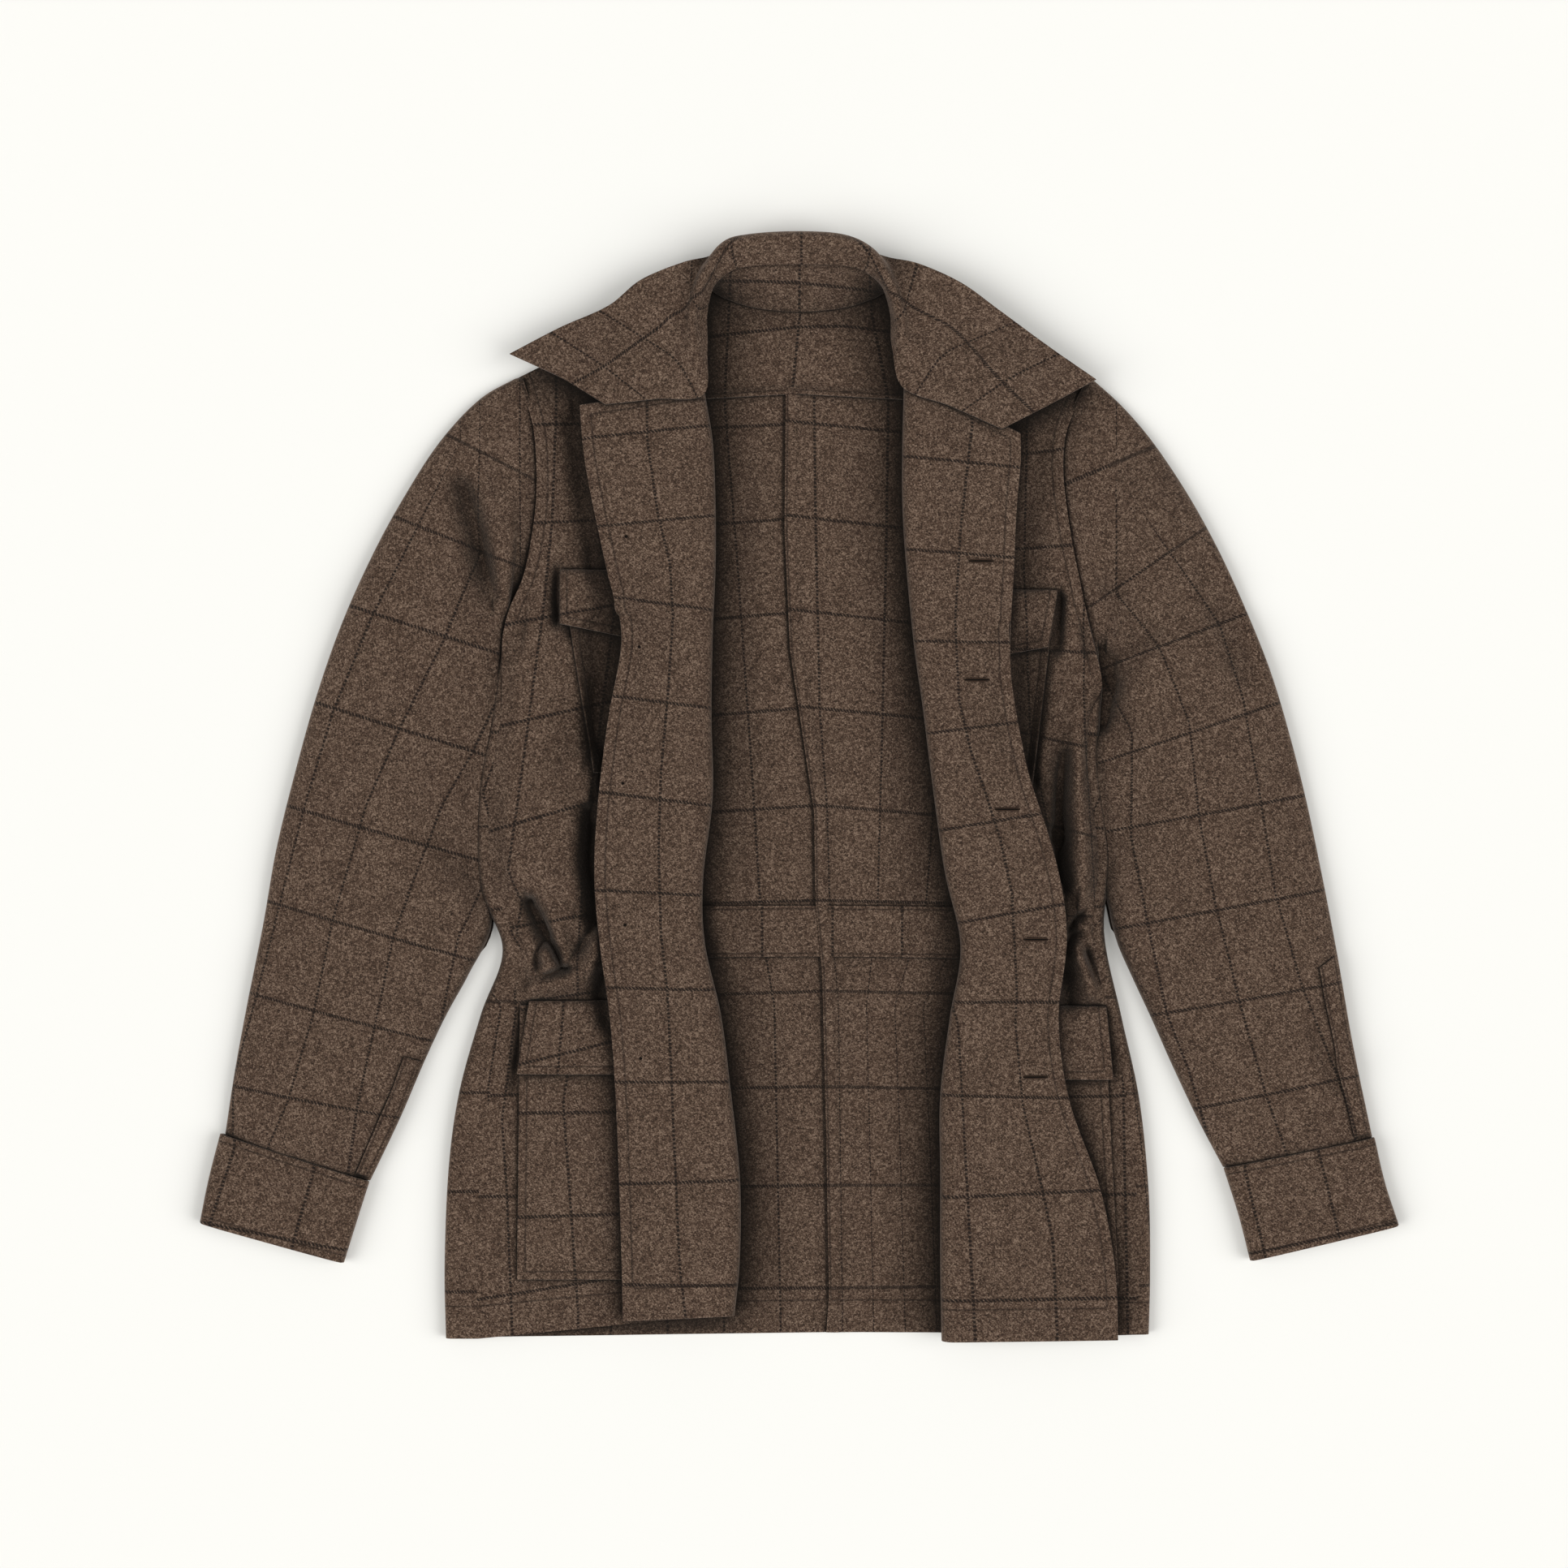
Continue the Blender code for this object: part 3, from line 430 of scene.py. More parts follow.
# Creases of each piece on the picture: three points, then the width and height in millimetres, which is below
# zero in a trough
LEFT_FRONT_CREASES = rows_of(
    Crease,
    (671, 1148, 666, 1132, 654, 1110, 4.4, -6.5),
    (678, 1128, 687, 1156, 698, 1184, 4.2, 4.2),
    (668, 1142, 678, 1166, 690, 1192, 2.0, -4.2),
    (638, 1144, 650, 1160, 655, 1174, 3.8, 3.6),
    (668, 1163, 660, 1176, 661, 1195, 2.4, -5.0),
    (671, 1170, 676, 1178, 681, 1186, 3.2, 2.4),
    (728, 1146, 716, 1166, 703, 1186, 3.2, -4.6),
    (739, 1150, 738, 1175, 727, 1193, 5.0, 4.6),
    (727, 1193, 702, 1209, 650, 1219, 5.4, 4.2),
    (697, 1192, 676, 1200, 650, 1207, 2.6, -4.2),
    (632, 1184, 638, 1198, 645, 1214, 3.2, -5.5),
    (743, 1200, 738, 1226, 745, 1258, 5.5, -6.0),
    (612, 1200, 622, 1216, 636, 1228, 4.0, 2.4),
    (644, 820, 634, 950, 652, 1076, 19.0, 7.0),
    (747, 784, 746, 846, 741, 916, 12.0, -9.0),
    (722, 938, 726, 966, 728, 984, 9.0, 4.0),
    (742, 690, 745, 735, 747, 784, 12.0, -5.0),
    (727, 1000, 725, 1060, 734, 1130, 6.0, -7.0),
    (694, 960, 699, 1040, 708, 1104, 9.0, 4.2),
    (640, 1000, 652, 1050, 660, 1104, 7.0, -1.6),
    (687, 764, 686, 732, 687, 700, 2.8, -5.0),
    (716, 930, 711, 850, 701, 796, 6.0, 4.5),
    (616, 1240, 612, 1330, 606, 1440, 8.0, -1.6),
    (641, 1252, 636, 1300, 630, 1340, 2.8, -3.0),
    (650, 1250, 646, 1340, 640, 1460, 9.0, -1.8),
    (690, 640, 700, 670, 712, 690, 9.0, -1.2),
    (706, 520, 718, 620, 736, 700, 9.0, -4.0),
    (590, 1240, 584, 1350, 580, 1500, 10.0, 1.6),
)
RIGHT_FRONT_CREASES = rows_of(
    Crease,
    (1331, 1127, 1324, 1136, 1318, 1146, 2.8, -4.8),
    (1326, 1150, 1320, 1157, 1314, 1168, 2.8, -5.0),
    (1327, 1146, 1333, 1180, 1362, 1228, 4.4, 4.4),
    (1340, 1176, 1351, 1204, 1367, 1230, 3.0, -5.0),
    (1310, 1200, 1313, 1218, 1315, 1236, 4.6, -6.5),
    (1348, 1146, 1352, 1160, 1360, 1184, 4.2, 2.8),
    (1338, 880, 1336, 980, 1331, 1086, 11.0, 6.5),
    (1266, 800, 1263, 860, 1265, 936, 12.0, -6.5),
    (1313, 930, 1306, 985, 1302, 1032, 4.6, -6.0),
    (1302, 1026, 1303, 1056, 1308, 1086, 4.8, -7.0),
    (1305, 802, 1307, 770, 1309, 736, 3.4, -5.5),
    (1302, 812, 1293, 880, 1282, 950, 5.0, 5.0),
    (1334, 760, 1335, 785, 1339, 806, 2.4, -3.6),
    (1352, 1240, 1368, 1330, 1380, 1450, 8.0, -1.6),
    (1318, 1250, 1322, 1340, 1326, 1450, 9.0, -1.8),
    (1284, 560, 1272, 640, 1262, 720, 9.0, -3.6),
)
LEFT_STRIP_CREASES = rows_of(
    Crease,
    (756, 790, 744, 950, 734, 1120, 14.0, 3.0),
    (762, 780, 758, 840, 748, 900, 12.0, 6.5),
    (842, 560, 852, 680, 846, 800, 12.0, 2.0),
    (770, 900, 800, 960, 850, 1010, 14.0, 1.5),
    (790, 1120, 820, 1160, 850, 1240, 14.0, 1.7),
    (800, 1330, 850, 1380, 880, 1440, 16.0, 1.5),
    (780, 720, 800, 760, 840, 790, 10.0, -1.2),
)
RIGHT_STRIP_CREASES = rows_of(
    Crease,
    (1252, 820, 1254, 930, 1290, 1070, 14.0, 2.6),
    (1240, 800, 1240, 850, 1248, 910, 12.0, 5.5),
    (1150, 560, 1146, 680, 1152, 780, 12.0, 2.0),
    (1150, 900, 1180, 990, 1230, 1080, 13.0, 2.5),
    (1180, 1140, 1215, 1180, 1262, 1200, 12.0, 2.0),
    (1172, 1200, 1205, 1215, 1240, 1226, 8.0, -1.4),
    (1190, 1300, 1210, 1400, 1240, 1500, 14.0, 1.5),
)
BACK_CREASES = rows_of(
    Crease,
    (988, 480, 990, 800, 1014, 975, 7.0, 1.0),
    (1014, 975, 1020, 1150, 1034, 1640, 7.0, 1.0),
    (876, 1128, 884, 1152, 890, 1180, 9.0, 3.0),
    (905, 1132, 908, 1152, 910, 1176, 5.0, -1.0),
    (1145, 1130, 1140, 1155, 1138, 1190, 8.0, 2.2),
    (960, 1090, 964, 1150, 968, 1210, 6.0, 0.9),
    (1060, 1080, 1056, 1150, 1058, 1220, 6.0, 1.0),
    (1096, 1090, 1094, 1150, 1098, 1210, 6.0, 0.8),
    (930, 700, 940, 830, 960, 960, 16.0, 1.6),
    (1070, 700, 1066, 830, 1050, 960, 16.0, 1.6),
    (900, 1260, 940, 1360, 950, 1480, 18.0, 1.4),
    (1110, 1250, 1090, 1360, 1090, 1480, 18.0, 1.4),
    (940, 420, 985, 440, 1040, 420, 16.0, 1.2),
)
LEFT_SLEEVE_CREASES = rows_of(
    Crease,
    (604, 730, 588, 650, 571, 600, 7.0, -6.5),
    (606, 620, 614, 680, 622, 740, 9.0, 4.0),
    (596, 720, 600, 800, 590, 900, 9.0, 1.6),
    (470, 880, 520, 960, 550, 1060, 14.0, -1.9),
    (560, 950, 530, 1060, 500, 1180, 12.0, 1.9),
    (420, 1040, 470, 1100, 530, 1130, 13.0, -1.6),
    (340, 1150, 410, 1190, 500, 1230, 12.0, -1.6),
    (390, 1230, 420, 1300, 430, 1390, 9.0, -1.6),
    (330, 1290, 345, 1350, 340, 1400, 9.0, 1.4),
    (518, 1301, 470, 1372, 438, 1455, 4.0, -2.2),
    (430, 720, 470, 780, 480, 860, 16.0, 1.6),
)
RIGHT_SLEEVE_CREASES = rows_of(
    Crease,
    (1358, 888, 1369, 850, 1367, 818, 7.5, -12.0),
    (1394, 836, 1400, 880, 1424, 930, 11.0, 5.0),
    (1360, 814, 1384, 803, 1420, 786, 5.5, -3.6),
    (1366, 728, 1380, 736, 1400, 748, 6.0, -2.6),
    (1392, 764, 1416, 742, 1440, 706, 9.0, 2.6),
    (1483, 722, 1510, 777, 1526, 820, 8.0, -3.4),
    (1520, 700, 1545, 780, 1560, 860, 10.0, 2.0),
    (1384, 890, 1440, 872, 1500, 862, 8.0, -2.4),
    (1372, 690, 1368, 740, 1372, 790, 7.0, -2.2),
    (1390, 950, 1450, 960, 1510, 960, 12.0, 2.2),
    (1400, 1060, 1440, 1100, 1500, 1120, 12.0, -1.9),
    (1560, 1020, 1590, 1100, 1620, 1190, 11.0, 1.6),
    (1500, 1240, 1530, 1310, 1550, 1400, 10.0, -1.6),
    (1629, 1270, 1645, 1295, 1661, 1318, 4.0, 2.2),
    (1617, 1272, 1632, 1306, 1645, 1340, 4.0, -2.0),
    (1470, 1180, 1490, 1260, 1520, 1330, 12.0, 1.6),
)

BACK_LEFT_CHECK = Check(
    warps=[
        [(893, 500), (901, 600), (909, 700), (923, 900), (939, 1150), (954, 1240), (962, 1640)],
        [
            (973, 500), (976, 640), (985, 800), (998, 900), (1011, 975), (1014, 1110), (1027, 1340),
            (1032, 1640),
        ],
    ],
    wefts=[
        [(890, 525), (990, 520)], [(890, 644), (990, 637)], [(890, 761), (990, 753)],
        [(890, 880), (990, 872)], [(890, 1000), (1000, 993)], [(890, 1113), (1010, 1110)],
        [(890, 1226), (1020, 1222)], [(890, 1342), (1020, 1340)], [(890, 1464), (1020, 1462)],
        [(890, 1590), (1020, 1589)],
    ],
)
BACK_RIGHT_CHECK = Check(
    warps=[
        [(1003, 480), (1005, 640), (1010, 870), (1019, 1000), (1022, 1110), (1033, 1240), (1038, 1640)],
        [(1095, 500), (1093, 640), (1088, 873), (1082, 1110), (1068, 1240), (1072, 1400), (1077, 1640)],
    ],
    wefts=[
        [(1000, 520), (1100, 530)], [(1000, 637), (1100, 648)], [(1000, 753), (1100, 764)],
        [(1005, 872), (1100, 881)], [(1015, 993), (1100, 1000)], [(1015, 1110), (1110, 1112)],
        [(1025, 1222), (1120, 1224)], [(1025, 1340), (1120, 1342)], [(1030, 1462), (1120, 1462)],
        [(1030, 1589), (1120, 1588)],
    ],
)
YOKE_CHECK = Check(
    warps=[[(898, 380), (893, 480)], [(986, 380), (976, 480)], [(1074, 380), (1093, 480)]],
    wefts=[[(862, 415), (896, 410), (983, 401), (1042, 400), (1105, 408)]],
)
STAND_CHECK = Check(
    warps=[[(901, 309), (894, 483)], [(985, 300), (985, 483)], [(1071, 323), (1078, 483)]],
    wefts=[[(884, 345), (983, 348), (1076, 357)]],
)
CASING_CHECK = Check(
    warps=[[(939, 1117), (939, 1178)], [(1026, 1117), (1026, 1178)], [(1112, 1117), (1112, 1178)]],
    wefts=[[(880, 1212), (1120, 1210)]],
)
LEFT_FACING_CHECK = Check(
    warps=[[
        (798, 542), (811, 634), (826, 695), (830, 760), (823, 860), (815, 950), (812, 1050), (815, 1150),
        (823, 1220), (828, 1330), (833, 1450), (838, 1560), (845, 1620),
    ]],
    wefts=[
        [(715, 542), (870, 526)], [(725, 651), (870, 637)], [(740, 734), (870, 751)],
        [(745, 857), (870, 872)], [(735, 975), (870, 992)], [(730, 1096), (870, 1103)],
        [(735, 1216), (880, 1219)], [(755, 1332), (890, 1332)], [(760, 1458), (900, 1453)],
        [(765, 1582), (905, 1582)],
    ],
)
RIGHT_FACING_CHECK = Check(
    warps=[
        [
            (1100, 526), (1096, 765), (1100, 900), (1140, 1050), (1164, 1150), (1170, 1224), (1180, 1259),
            (1201, 1651),
        ],
        [
            (1197, 526), (1183, 650), (1176, 765), (1181, 864), (1195, 925), (1214, 979), (1231, 1033),
            (1246, 1101), (1252, 1224), (1250, 1260), (1259, 1359), (1281, 1455), (1296, 1525), (1302, 1648),
        ],
    ],
    wefts=[
        [(1110, 563), (1255, 577)], [(1110, 677), (1250, 688)], [(1120, 790), (1245, 793)],
        [(1125, 906), (1245, 891)], [(1145, 1025), (1260, 1006)], [(1160, 1140), (1290, 1117)],
        [(1165, 1234), (1300, 1234)], [(1160, 1348), (1310, 1352)], [(1160, 1474), (1340, 1466)],
        [(1160, 1601), (1370, 1598)],
    ],
)
LEFT_FRONT_CHECK = Check(
    warps=[
        [
            (685, 500), (680, 640), (668, 760), (650, 900), (627, 1072), (642, 1110), (634, 1180),
            (635, 1244), (618, 1381), (624, 1470), (631, 1647),
        ],
        [
            (773, 500), (768, 640), (756, 760), (738, 900), (716, 1072), (716, 1110), (712, 1180),
            (711, 1248), (694, 1359), (702, 1470), (712, 1618),
        ],
    ],
    wefts=[
        [(640, 523), (740, 521)], [(640, 645), (740, 640)], [(625, 769), (686, 758)],
        [(615, 895), (726, 870)], [(594, 1027), (707, 994)], [(650, 1140), (707, 1130)],
        [(650, 1233), (725, 1223)], [(600, 1350), (740, 1348)], [(600, 1475), (740, 1474)],
        [(600, 1600), (740, 1578)],
    ],
)
RIGHT_FRONT_CHECK = Check(
    warps=[
        [(1266, 500), (1262, 700), (1270, 900), (1300, 1072), (1310, 1180), (1296, 1300), (1300, 1640)],
        [(1340, 500), (1336, 700), (1336, 900), (1346, 1072), (1352, 1180), (1384, 1300), (1390, 1640)],
    ],
    wefts=[
        [(1250, 560), (1350, 548)], [(1250, 676), (1340, 670)], [(1250, 800), (1345, 804)],
        [(1270, 905), (1360, 925)], [(1290, 1015), (1360, 1035)], [(1300, 1128), (1370, 1130)],
        [(1300, 1240), (1410, 1240)], [(1300, 1352), (1410, 1350)], [(1300, 1472), (1415, 1472)],
        [(1300, 1602), (1415, 1600)],
    ],
)
LEFT_SLEEVE_CHECK = Check(
    warps=[
        [(567, 542), (514, 651), (460, 758), (412, 875), (376, 993), (345, 1114), (316, 1228), (287, 1332)],
        [(590, 683), (548, 787), (493, 898), (452, 993), (411, 1133), (387, 1249), (355, 1357), (329, 1415)],
        [(640, 800), (583, 924), (544, 993), (486, 1153), (461, 1270), (440, 1365), (428, 1448)],
    ],
    wefts=[
        [(540, 530), (610, 566)], [(487, 637), (592, 679)], [(430, 746), (617, 806)],
        [(387, 865), (577, 924)], [(378, 1000), (581, 1058)], [(331, 1111), (557, 1176)],
        [(308, 1224), (528, 1282)], [(285, 1338), (465, 1373)],
    ],
)
RIGHT_SLEEVE_CHECK = Check(
    warps=[
        [(1310, 733), (1395, 902), (1394, 1031), (1413, 1134), (1438, 1249), (1465, 1318), (1490, 1400)],
        [
            (1376, 733), (1426, 794), (1464, 890), (1476, 1008), (1497, 1115), (1526, 1233), (1559, 1348),
            (1587, 1425),
        ],
        [
            (1338, 534), (1372, 576), (1437, 676), (1502, 768), (1531, 863), (1552, 986), (1570, 1100),
            (1603, 1214), (1648, 1325), (1670, 1394),
        ],
    ],
    wefts=[
        [(1361, 576), (1422, 550)], [(1372, 729), (1487, 649)], [(1365, 821), (1537, 756)],
        [(1357, 940), (1579, 865)], [(1365, 1024), (1609, 980)], [(1388, 1142), (1635, 1096)],
        [(1430, 1249), (1656, 1210)], [(1478, 1365), (1675, 1325)],
    ],
)
LEFT_CUFF_CHECK = Check(
    warps=[[(289, 1416), (258, 1510)], [(387, 1442), (360, 1536)]],
    wefts=[[(285, 1395), (465, 1430)]],
)
RIGHT_CUFF_CHECK = Check(
    warps=[[(1534, 1442), (1560, 1550)], [(1624, 1417), (1652, 1530)]],
    wefts=[[(1478, 1440), (1690, 1395)]],
)
LEFT_HIP_CHECK = Check(
    warps=[[(711, 1248), (694, 1359), (702, 1470), (712, 1618)]],
    wefts=[[(640, 1372), (760, 1370)], [(640, 1500), (760, 1496)]],
)
LEFT_HIP_FLAP_CHECK = Check(
    warps=[[(694, 1248), (686, 1340)]],
    wefts=[[(642, 1311), (755, 1283)]],
)

# Buttonholes of the right facing and the buttons' threads that come through the left one, on the picture
BUTTONHOLES = [(1208, 692), (1203, 838), (1240, 997), (1275, 1157), (1275, 1326)]
BUTTON_THREADS = [(772, 662), (788, 798), (768, 965), (771, 1139), (790, 1303)]
BUTTONHOLE_LENGTH = 18.0
BUTTONHOLE_WIDTH = 3.2
BUTTONHOLE_SLIT = 0.36
THREAD_SPOT = 2.6

# All that differs between the jacket's two sides
LEFT = Side(
    "left", 1, LEFT_FRONT, LEFT_FRONT_FOLDS, LEFT_FRONT_CREASES, LEFT_STRIP_CREASES, LEFT_POCKETS, LEFT_FLAPS,
    LEFT_BACK_SEWN, LEFT_SLEEVE, LEFT_SLEEVE_FOLDS, LEFT_SLEEVE_CREASES, LEFT_HANG, LEFT_PLACKET, LEFT_CUFF,
    {
        "front": LEFT_FRONT_CHECK, "facing": LEFT_FACING_CHECK, "back": BACK_LEFT_CHECK,
        "hip": LEFT_HIP_CHECK, "hip_flap": LEFT_HIP_FLAP_CHECK,
        "sleeve": LEFT_SLEEVE_CHECK, "cuff": LEFT_CUFF_CHECK,
    },
)
RIGHT = Side(
    "right", -1, RIGHT_FRONT, RIGHT_FRONT_FOLDS, RIGHT_FRONT_CREASES, RIGHT_STRIP_CREASES, RIGHT_POCKETS,
    RIGHT_FLAPS, RIGHT_BACK_SEWN, RIGHT_SLEEVE, RIGHT_SLEEVE_FOLDS, RIGHT_SLEEVE_CREASES, RIGHT_HANG,
    RIGHT_PLACKET, RIGHT_CUFF,
    {
        "front": RIGHT_FRONT_CHECK, "facing": RIGHT_FACING_CHECK, "back": BACK_RIGHT_CHECK,
        "sleeve": RIGHT_SLEEVE_CHECK, "cuff": RIGHT_CUFF_CHECK,
    },
)


def columns(table, *names):
    """The named columns of a table, one row of numbers for each row."""
    return np.array([[getattr(row, name) for name in names] for row in table], float)


def spline(knots, at):
    """A smooth curve through equally spaced knots, read at row numbers that may lie between rows."""
    knots = np.asarray(knots, float)
    last = len(knots) - 1
    at = np.clip(np.asarray(at, float), 0, last)
    low = np.minimum(at.astype(int), last - 1)
    part = (at - low)[..., None]
    ends = np.vstack([2 * knots[0] - knots[1], knots, 2 * knots[-1] - knots[-2]])
    a, b, c, d = (ends[low + step] for step in range(4))
    bend = 2 * a - 5 * b + 4 * c - d + part * (3 * (b - c) + d - a)
    return b + 0.5 * part * (c - a + part * bend)


def picture(x, y):
    """Millimetres in the jacket's frame for a place on the picture."""
    return (x - PICTURE_X) * PIXEL, (PICTURE_Y - y) * PIXEL


def line_of(table, name, at, axes="xyz"):
    """A named line of places in a table, read at row numbers."""
    return spline(columns(table, *(f"{name}_{axis}" for axis in axes)), at)


def uneven(x, y):
    """Soft waves of the cloth between -1 and 1, without a repeat that shows."""
    waves = [np.sin(x / across + y / length + start) for across, length, start in WAVES]
    return sum(waves) / len(waves)


def smooth_step(part):
    """0 below 0, 1 above 1 and a soft rise between."""
    part = np.clip(part, 0, 1)
    return part * part * (3 - 2 * part)


def bump(away, width, height):
    """Height of a soft ridge at a distance from its line."""
    return height * np.exp(-((away / width) ** 2))


def from_segment(x, y, start, end):
    """Distance from a straight line between two places, and the side of it by the sign."""
    run_x, run_y = end[0] - start[0], end[1] - start[1]
    off_x, off_y = x - start[0], y - start[1]
    part = np.clip((off_x * run_x + off_y * run_y) / (run_x**2 + run_y**2), 0, 1)
    return np.hypot(off_x - part * run_x, off_y - part * run_y), np.sign(run_x * off_y - run_y * off_x)


def relief(x, y, folds):
    """Height that the solids' ridges and troughs add at points of a panel."""
    height = np.zeros_like(x)
    for fold in folds:
        away = from_segment(x, y, (fold.x0, fold.y0), (fold.x1, fold.y1))[0]
        height += bump(away, fold.width, fold.height)
    return height


def creases(x, y, table):
    """Height of the listed creases: each has a crisp side, a soft one and an uneven depth."""
    height = np.zeros_like(x)
    wander = 1 + CREASE_WANDER * uneven(x, y)
    for crease in table:
        ends = [picture(crease.x0, crease.y0), picture(crease.x1, crease.y1), picture(crease.x2, crease.y2)]
        nearest = np.full(x.shape, np.inf)
        side = np.zeros_like(x)
        for start, end in zip(ends, ends[1:]):
            away, turned = from_segment(x, y, start, end)
            side = np.where(away < nearest, turned, side)
            nearest = np.minimum(nearest, away)
        height += bump(nearest, crease.width * np.where(side > 0, SOFT_SIDE, 1.0), crease.height) * wander
    return height


def moved_out(points, distance):
    """A grid of points moved along its own normals, on the side that faces up in its last column."""
    normal = np.cross(np.gradient(points, axis=0), np.gradient(points, axis=1))
    normal /= np.linalg.norm(normal, axis=2, keepdims=True)
    if normal[:, -1, 2].sum() < 0:
        normal = -normal
    return points + distance * normal


def side_x(front, y):
    """The body's outer edge at height y."""
    edge = spline(columns(front, "side_y", "side_x"), np.linspace(0, len(front) - 1, 400))
    return np.interp(y, edge[:, 0], edge[:, 1])


def along(points, axis):
    """Distance along the rows or columns of a grid from its first point, with gaps counted as nothing."""
    step = np.linalg.norm(np.diff(points, axis=axis), axis=2)
    start = np.zeros_like(np.take(step, [0], axis=axis))
    return np.cumsum(np.concatenate([start, np.nan_to_num(step)], axis=axis), axis=axis)


def from_end(points, axis):
    """Distance along the rows or columns of a grid from its last point."""
    return np.flip(along(np.flip(points, axis), axis), axis)


def between(value, lines, repeat):
    """How many repeats a place lies past the first line, counted line by line."""
    lines = np.array(lines)
    lines = lines[np.argsort(lines.reshape(len(lines), -1).mean(axis=1))]
    if len(lines) == 1:
        return (value - lines[0]) / repeat
    low = np.clip((value >= lines).sum(axis=0) - 1, 0, len(lines) - 2)
    below = np.take_along_axis(lines, low[None], axis=0)[0]
    above = np.take_along_axis(lines, low[None] + 1, axis=0)[0]
    return low + (value - below) / (above - below)


def cloth_places(points, check):
    """Places on the cloth in metres, so that the check's lines fall where the table has them."""
    x, y = np.nan_to_num(points[..., 0]), np.nan_to_num(points[..., 1])
    warps, wefts = [], []
    for line in check.warps:
        px, py = np.array([picture(*point) for point in line]).T
        warps.append(np.interp(y, py[::-1], px[::-1]))
    for line in check.wefts:
        px, py = np.array([picture(*point) for point in line]).T
        slope = (py[-1] - py[0]) / (px[-1] - px[0])
        wefts.append(np.interp(x, px, py) + slope * (x - np.clip(x, px[0], px[-1])))
    u = between(x, warps, WARP_REPEAT) * WARP_REPEAT
    v = between(y, wefts, WEFT_REPEAT) * WEFT_REPEAT
    return np.stack([u, v], axis=2) * MM


def stitched(points, sewn, rows=True):
    """Distance in metres from the nearest row of topstitching, and the way along it.

    Rows has the rows of the grid that are sewn beside their first point."""
    nearest = np.full(points.shape[:2], NOWHERE)
    margins = [
        (sewn.first, along(points, 1) + np.where(rows, 0.0, NOWHERE)[..., None]),
        (sewn.last, from_end(points, 1)),
        (sewn.start, along(points, 0)),
        (sewn.end, from_end(points, 0)),
    ]
    for margin, distance in margins:
        if margin is not None:
            nearest = np.minimum(nearest, distance - margin)
    way = along(points, 0) + along(points, 1)
    return np.stack([nearest, way], axis=2) * MM


def grid_faces(points, loop):
    """Corners of the grid's faces as rows and columns, wound to face up, and the number of each point."""
    rows, cols = points.shape[:2]
    there = ~np.isnan(points[..., 0])
    number = np.cumsum(there.ravel()).reshape(rows, cols) - 1
    i, j = (grid.ravel() for grid in np.mgrid[0: rows - 1, 0: cols if loop else cols - 1])
    row = np.stack([i, i, i + 1, i + 1], axis=1)
    col = np.stack([j, j + 1, j + 1, j], axis=1)
    whole = there[row, col % cols].all(axis=1)
    row, col = row[whole], col[whole]
    first, second, third = (points[row[0, k], col[0, k] % cols, :2] for k in range(3))
    if np.cross(second - first, third - first) < 0:
        row, col = row[:, ::-1], col[:, ::-1]
    return row, col, number, there


def cloth(name, points, check, sewn, thickness, loop=False, rows=True):
    """A shell of cloth on a grid of points, in place of the solid of that name.

    A loop is closed from its last column to its first."""
    cols = points.shape[1]
    ring = np.concatenate([points, points[:, :1]], axis=1) if loop else points
    places = check if isinstance(check, np.ndarray) else cloth_places(ring, check)
    stitches = stitched(ring, sewn, rows)
    row, col, number, there = grid_faces(points, loop)
    mesh = bpy.data.meshes.new(name + "_cloth")
    mesh.from_pydata((points[there] * MM).tolist(), [], number[row, col % cols].tolist())
    for map_name, grid in (("Cloth", places), ("Stitch", stitches)):
        layer = mesh.uv_layers.new(name=map_name)
        layer.uv.foreach_set("vector", grid[row, col].astype(np.float32).ravel())
    mesh.shade_smooth()
    mesh.materials.append(WOOL)
    piece = bpy.data.objects.new(name + "_cloth", mesh)
    bpy.context.scene.collection.objects.link(piece)
    wall = piece.modifiers.new("Wall", "SOLIDIFY")
    wall.thickness = thickness * MM
    wall.offset = 0.0
    edge = piece.modifiers.new("Edge", "BEVEL")
    edge.width = EDGE_ROUND * thickness * MM
    edge.segments = 2
    edge.angle_limit = math.radians(EDGE_ANGLE)
    edge.harden_normals = False
    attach(piece, "root")
    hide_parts(name)


def front_rows(front):
    """Row numbers of a front's mesh, closest at the gathered waist, with a row at the top of its roll."""
    ends = [(0, 4, 60), (4, 7, 120), (7, FOLD_TOP, 110), (FOLD_TOP, len(front) - 1, 26)]
    parts = [np.linspace(low, high, count, endpoint=False) for low, high, count in ends]
    return np.append(np.concatenate(parts), len(front) - 1)


def below_armpit(at):
    """1 down the side seam, running out to 0 at the armpit."""
    return smooth_step((ARMPIT - at) / ARMPIT_RUN)


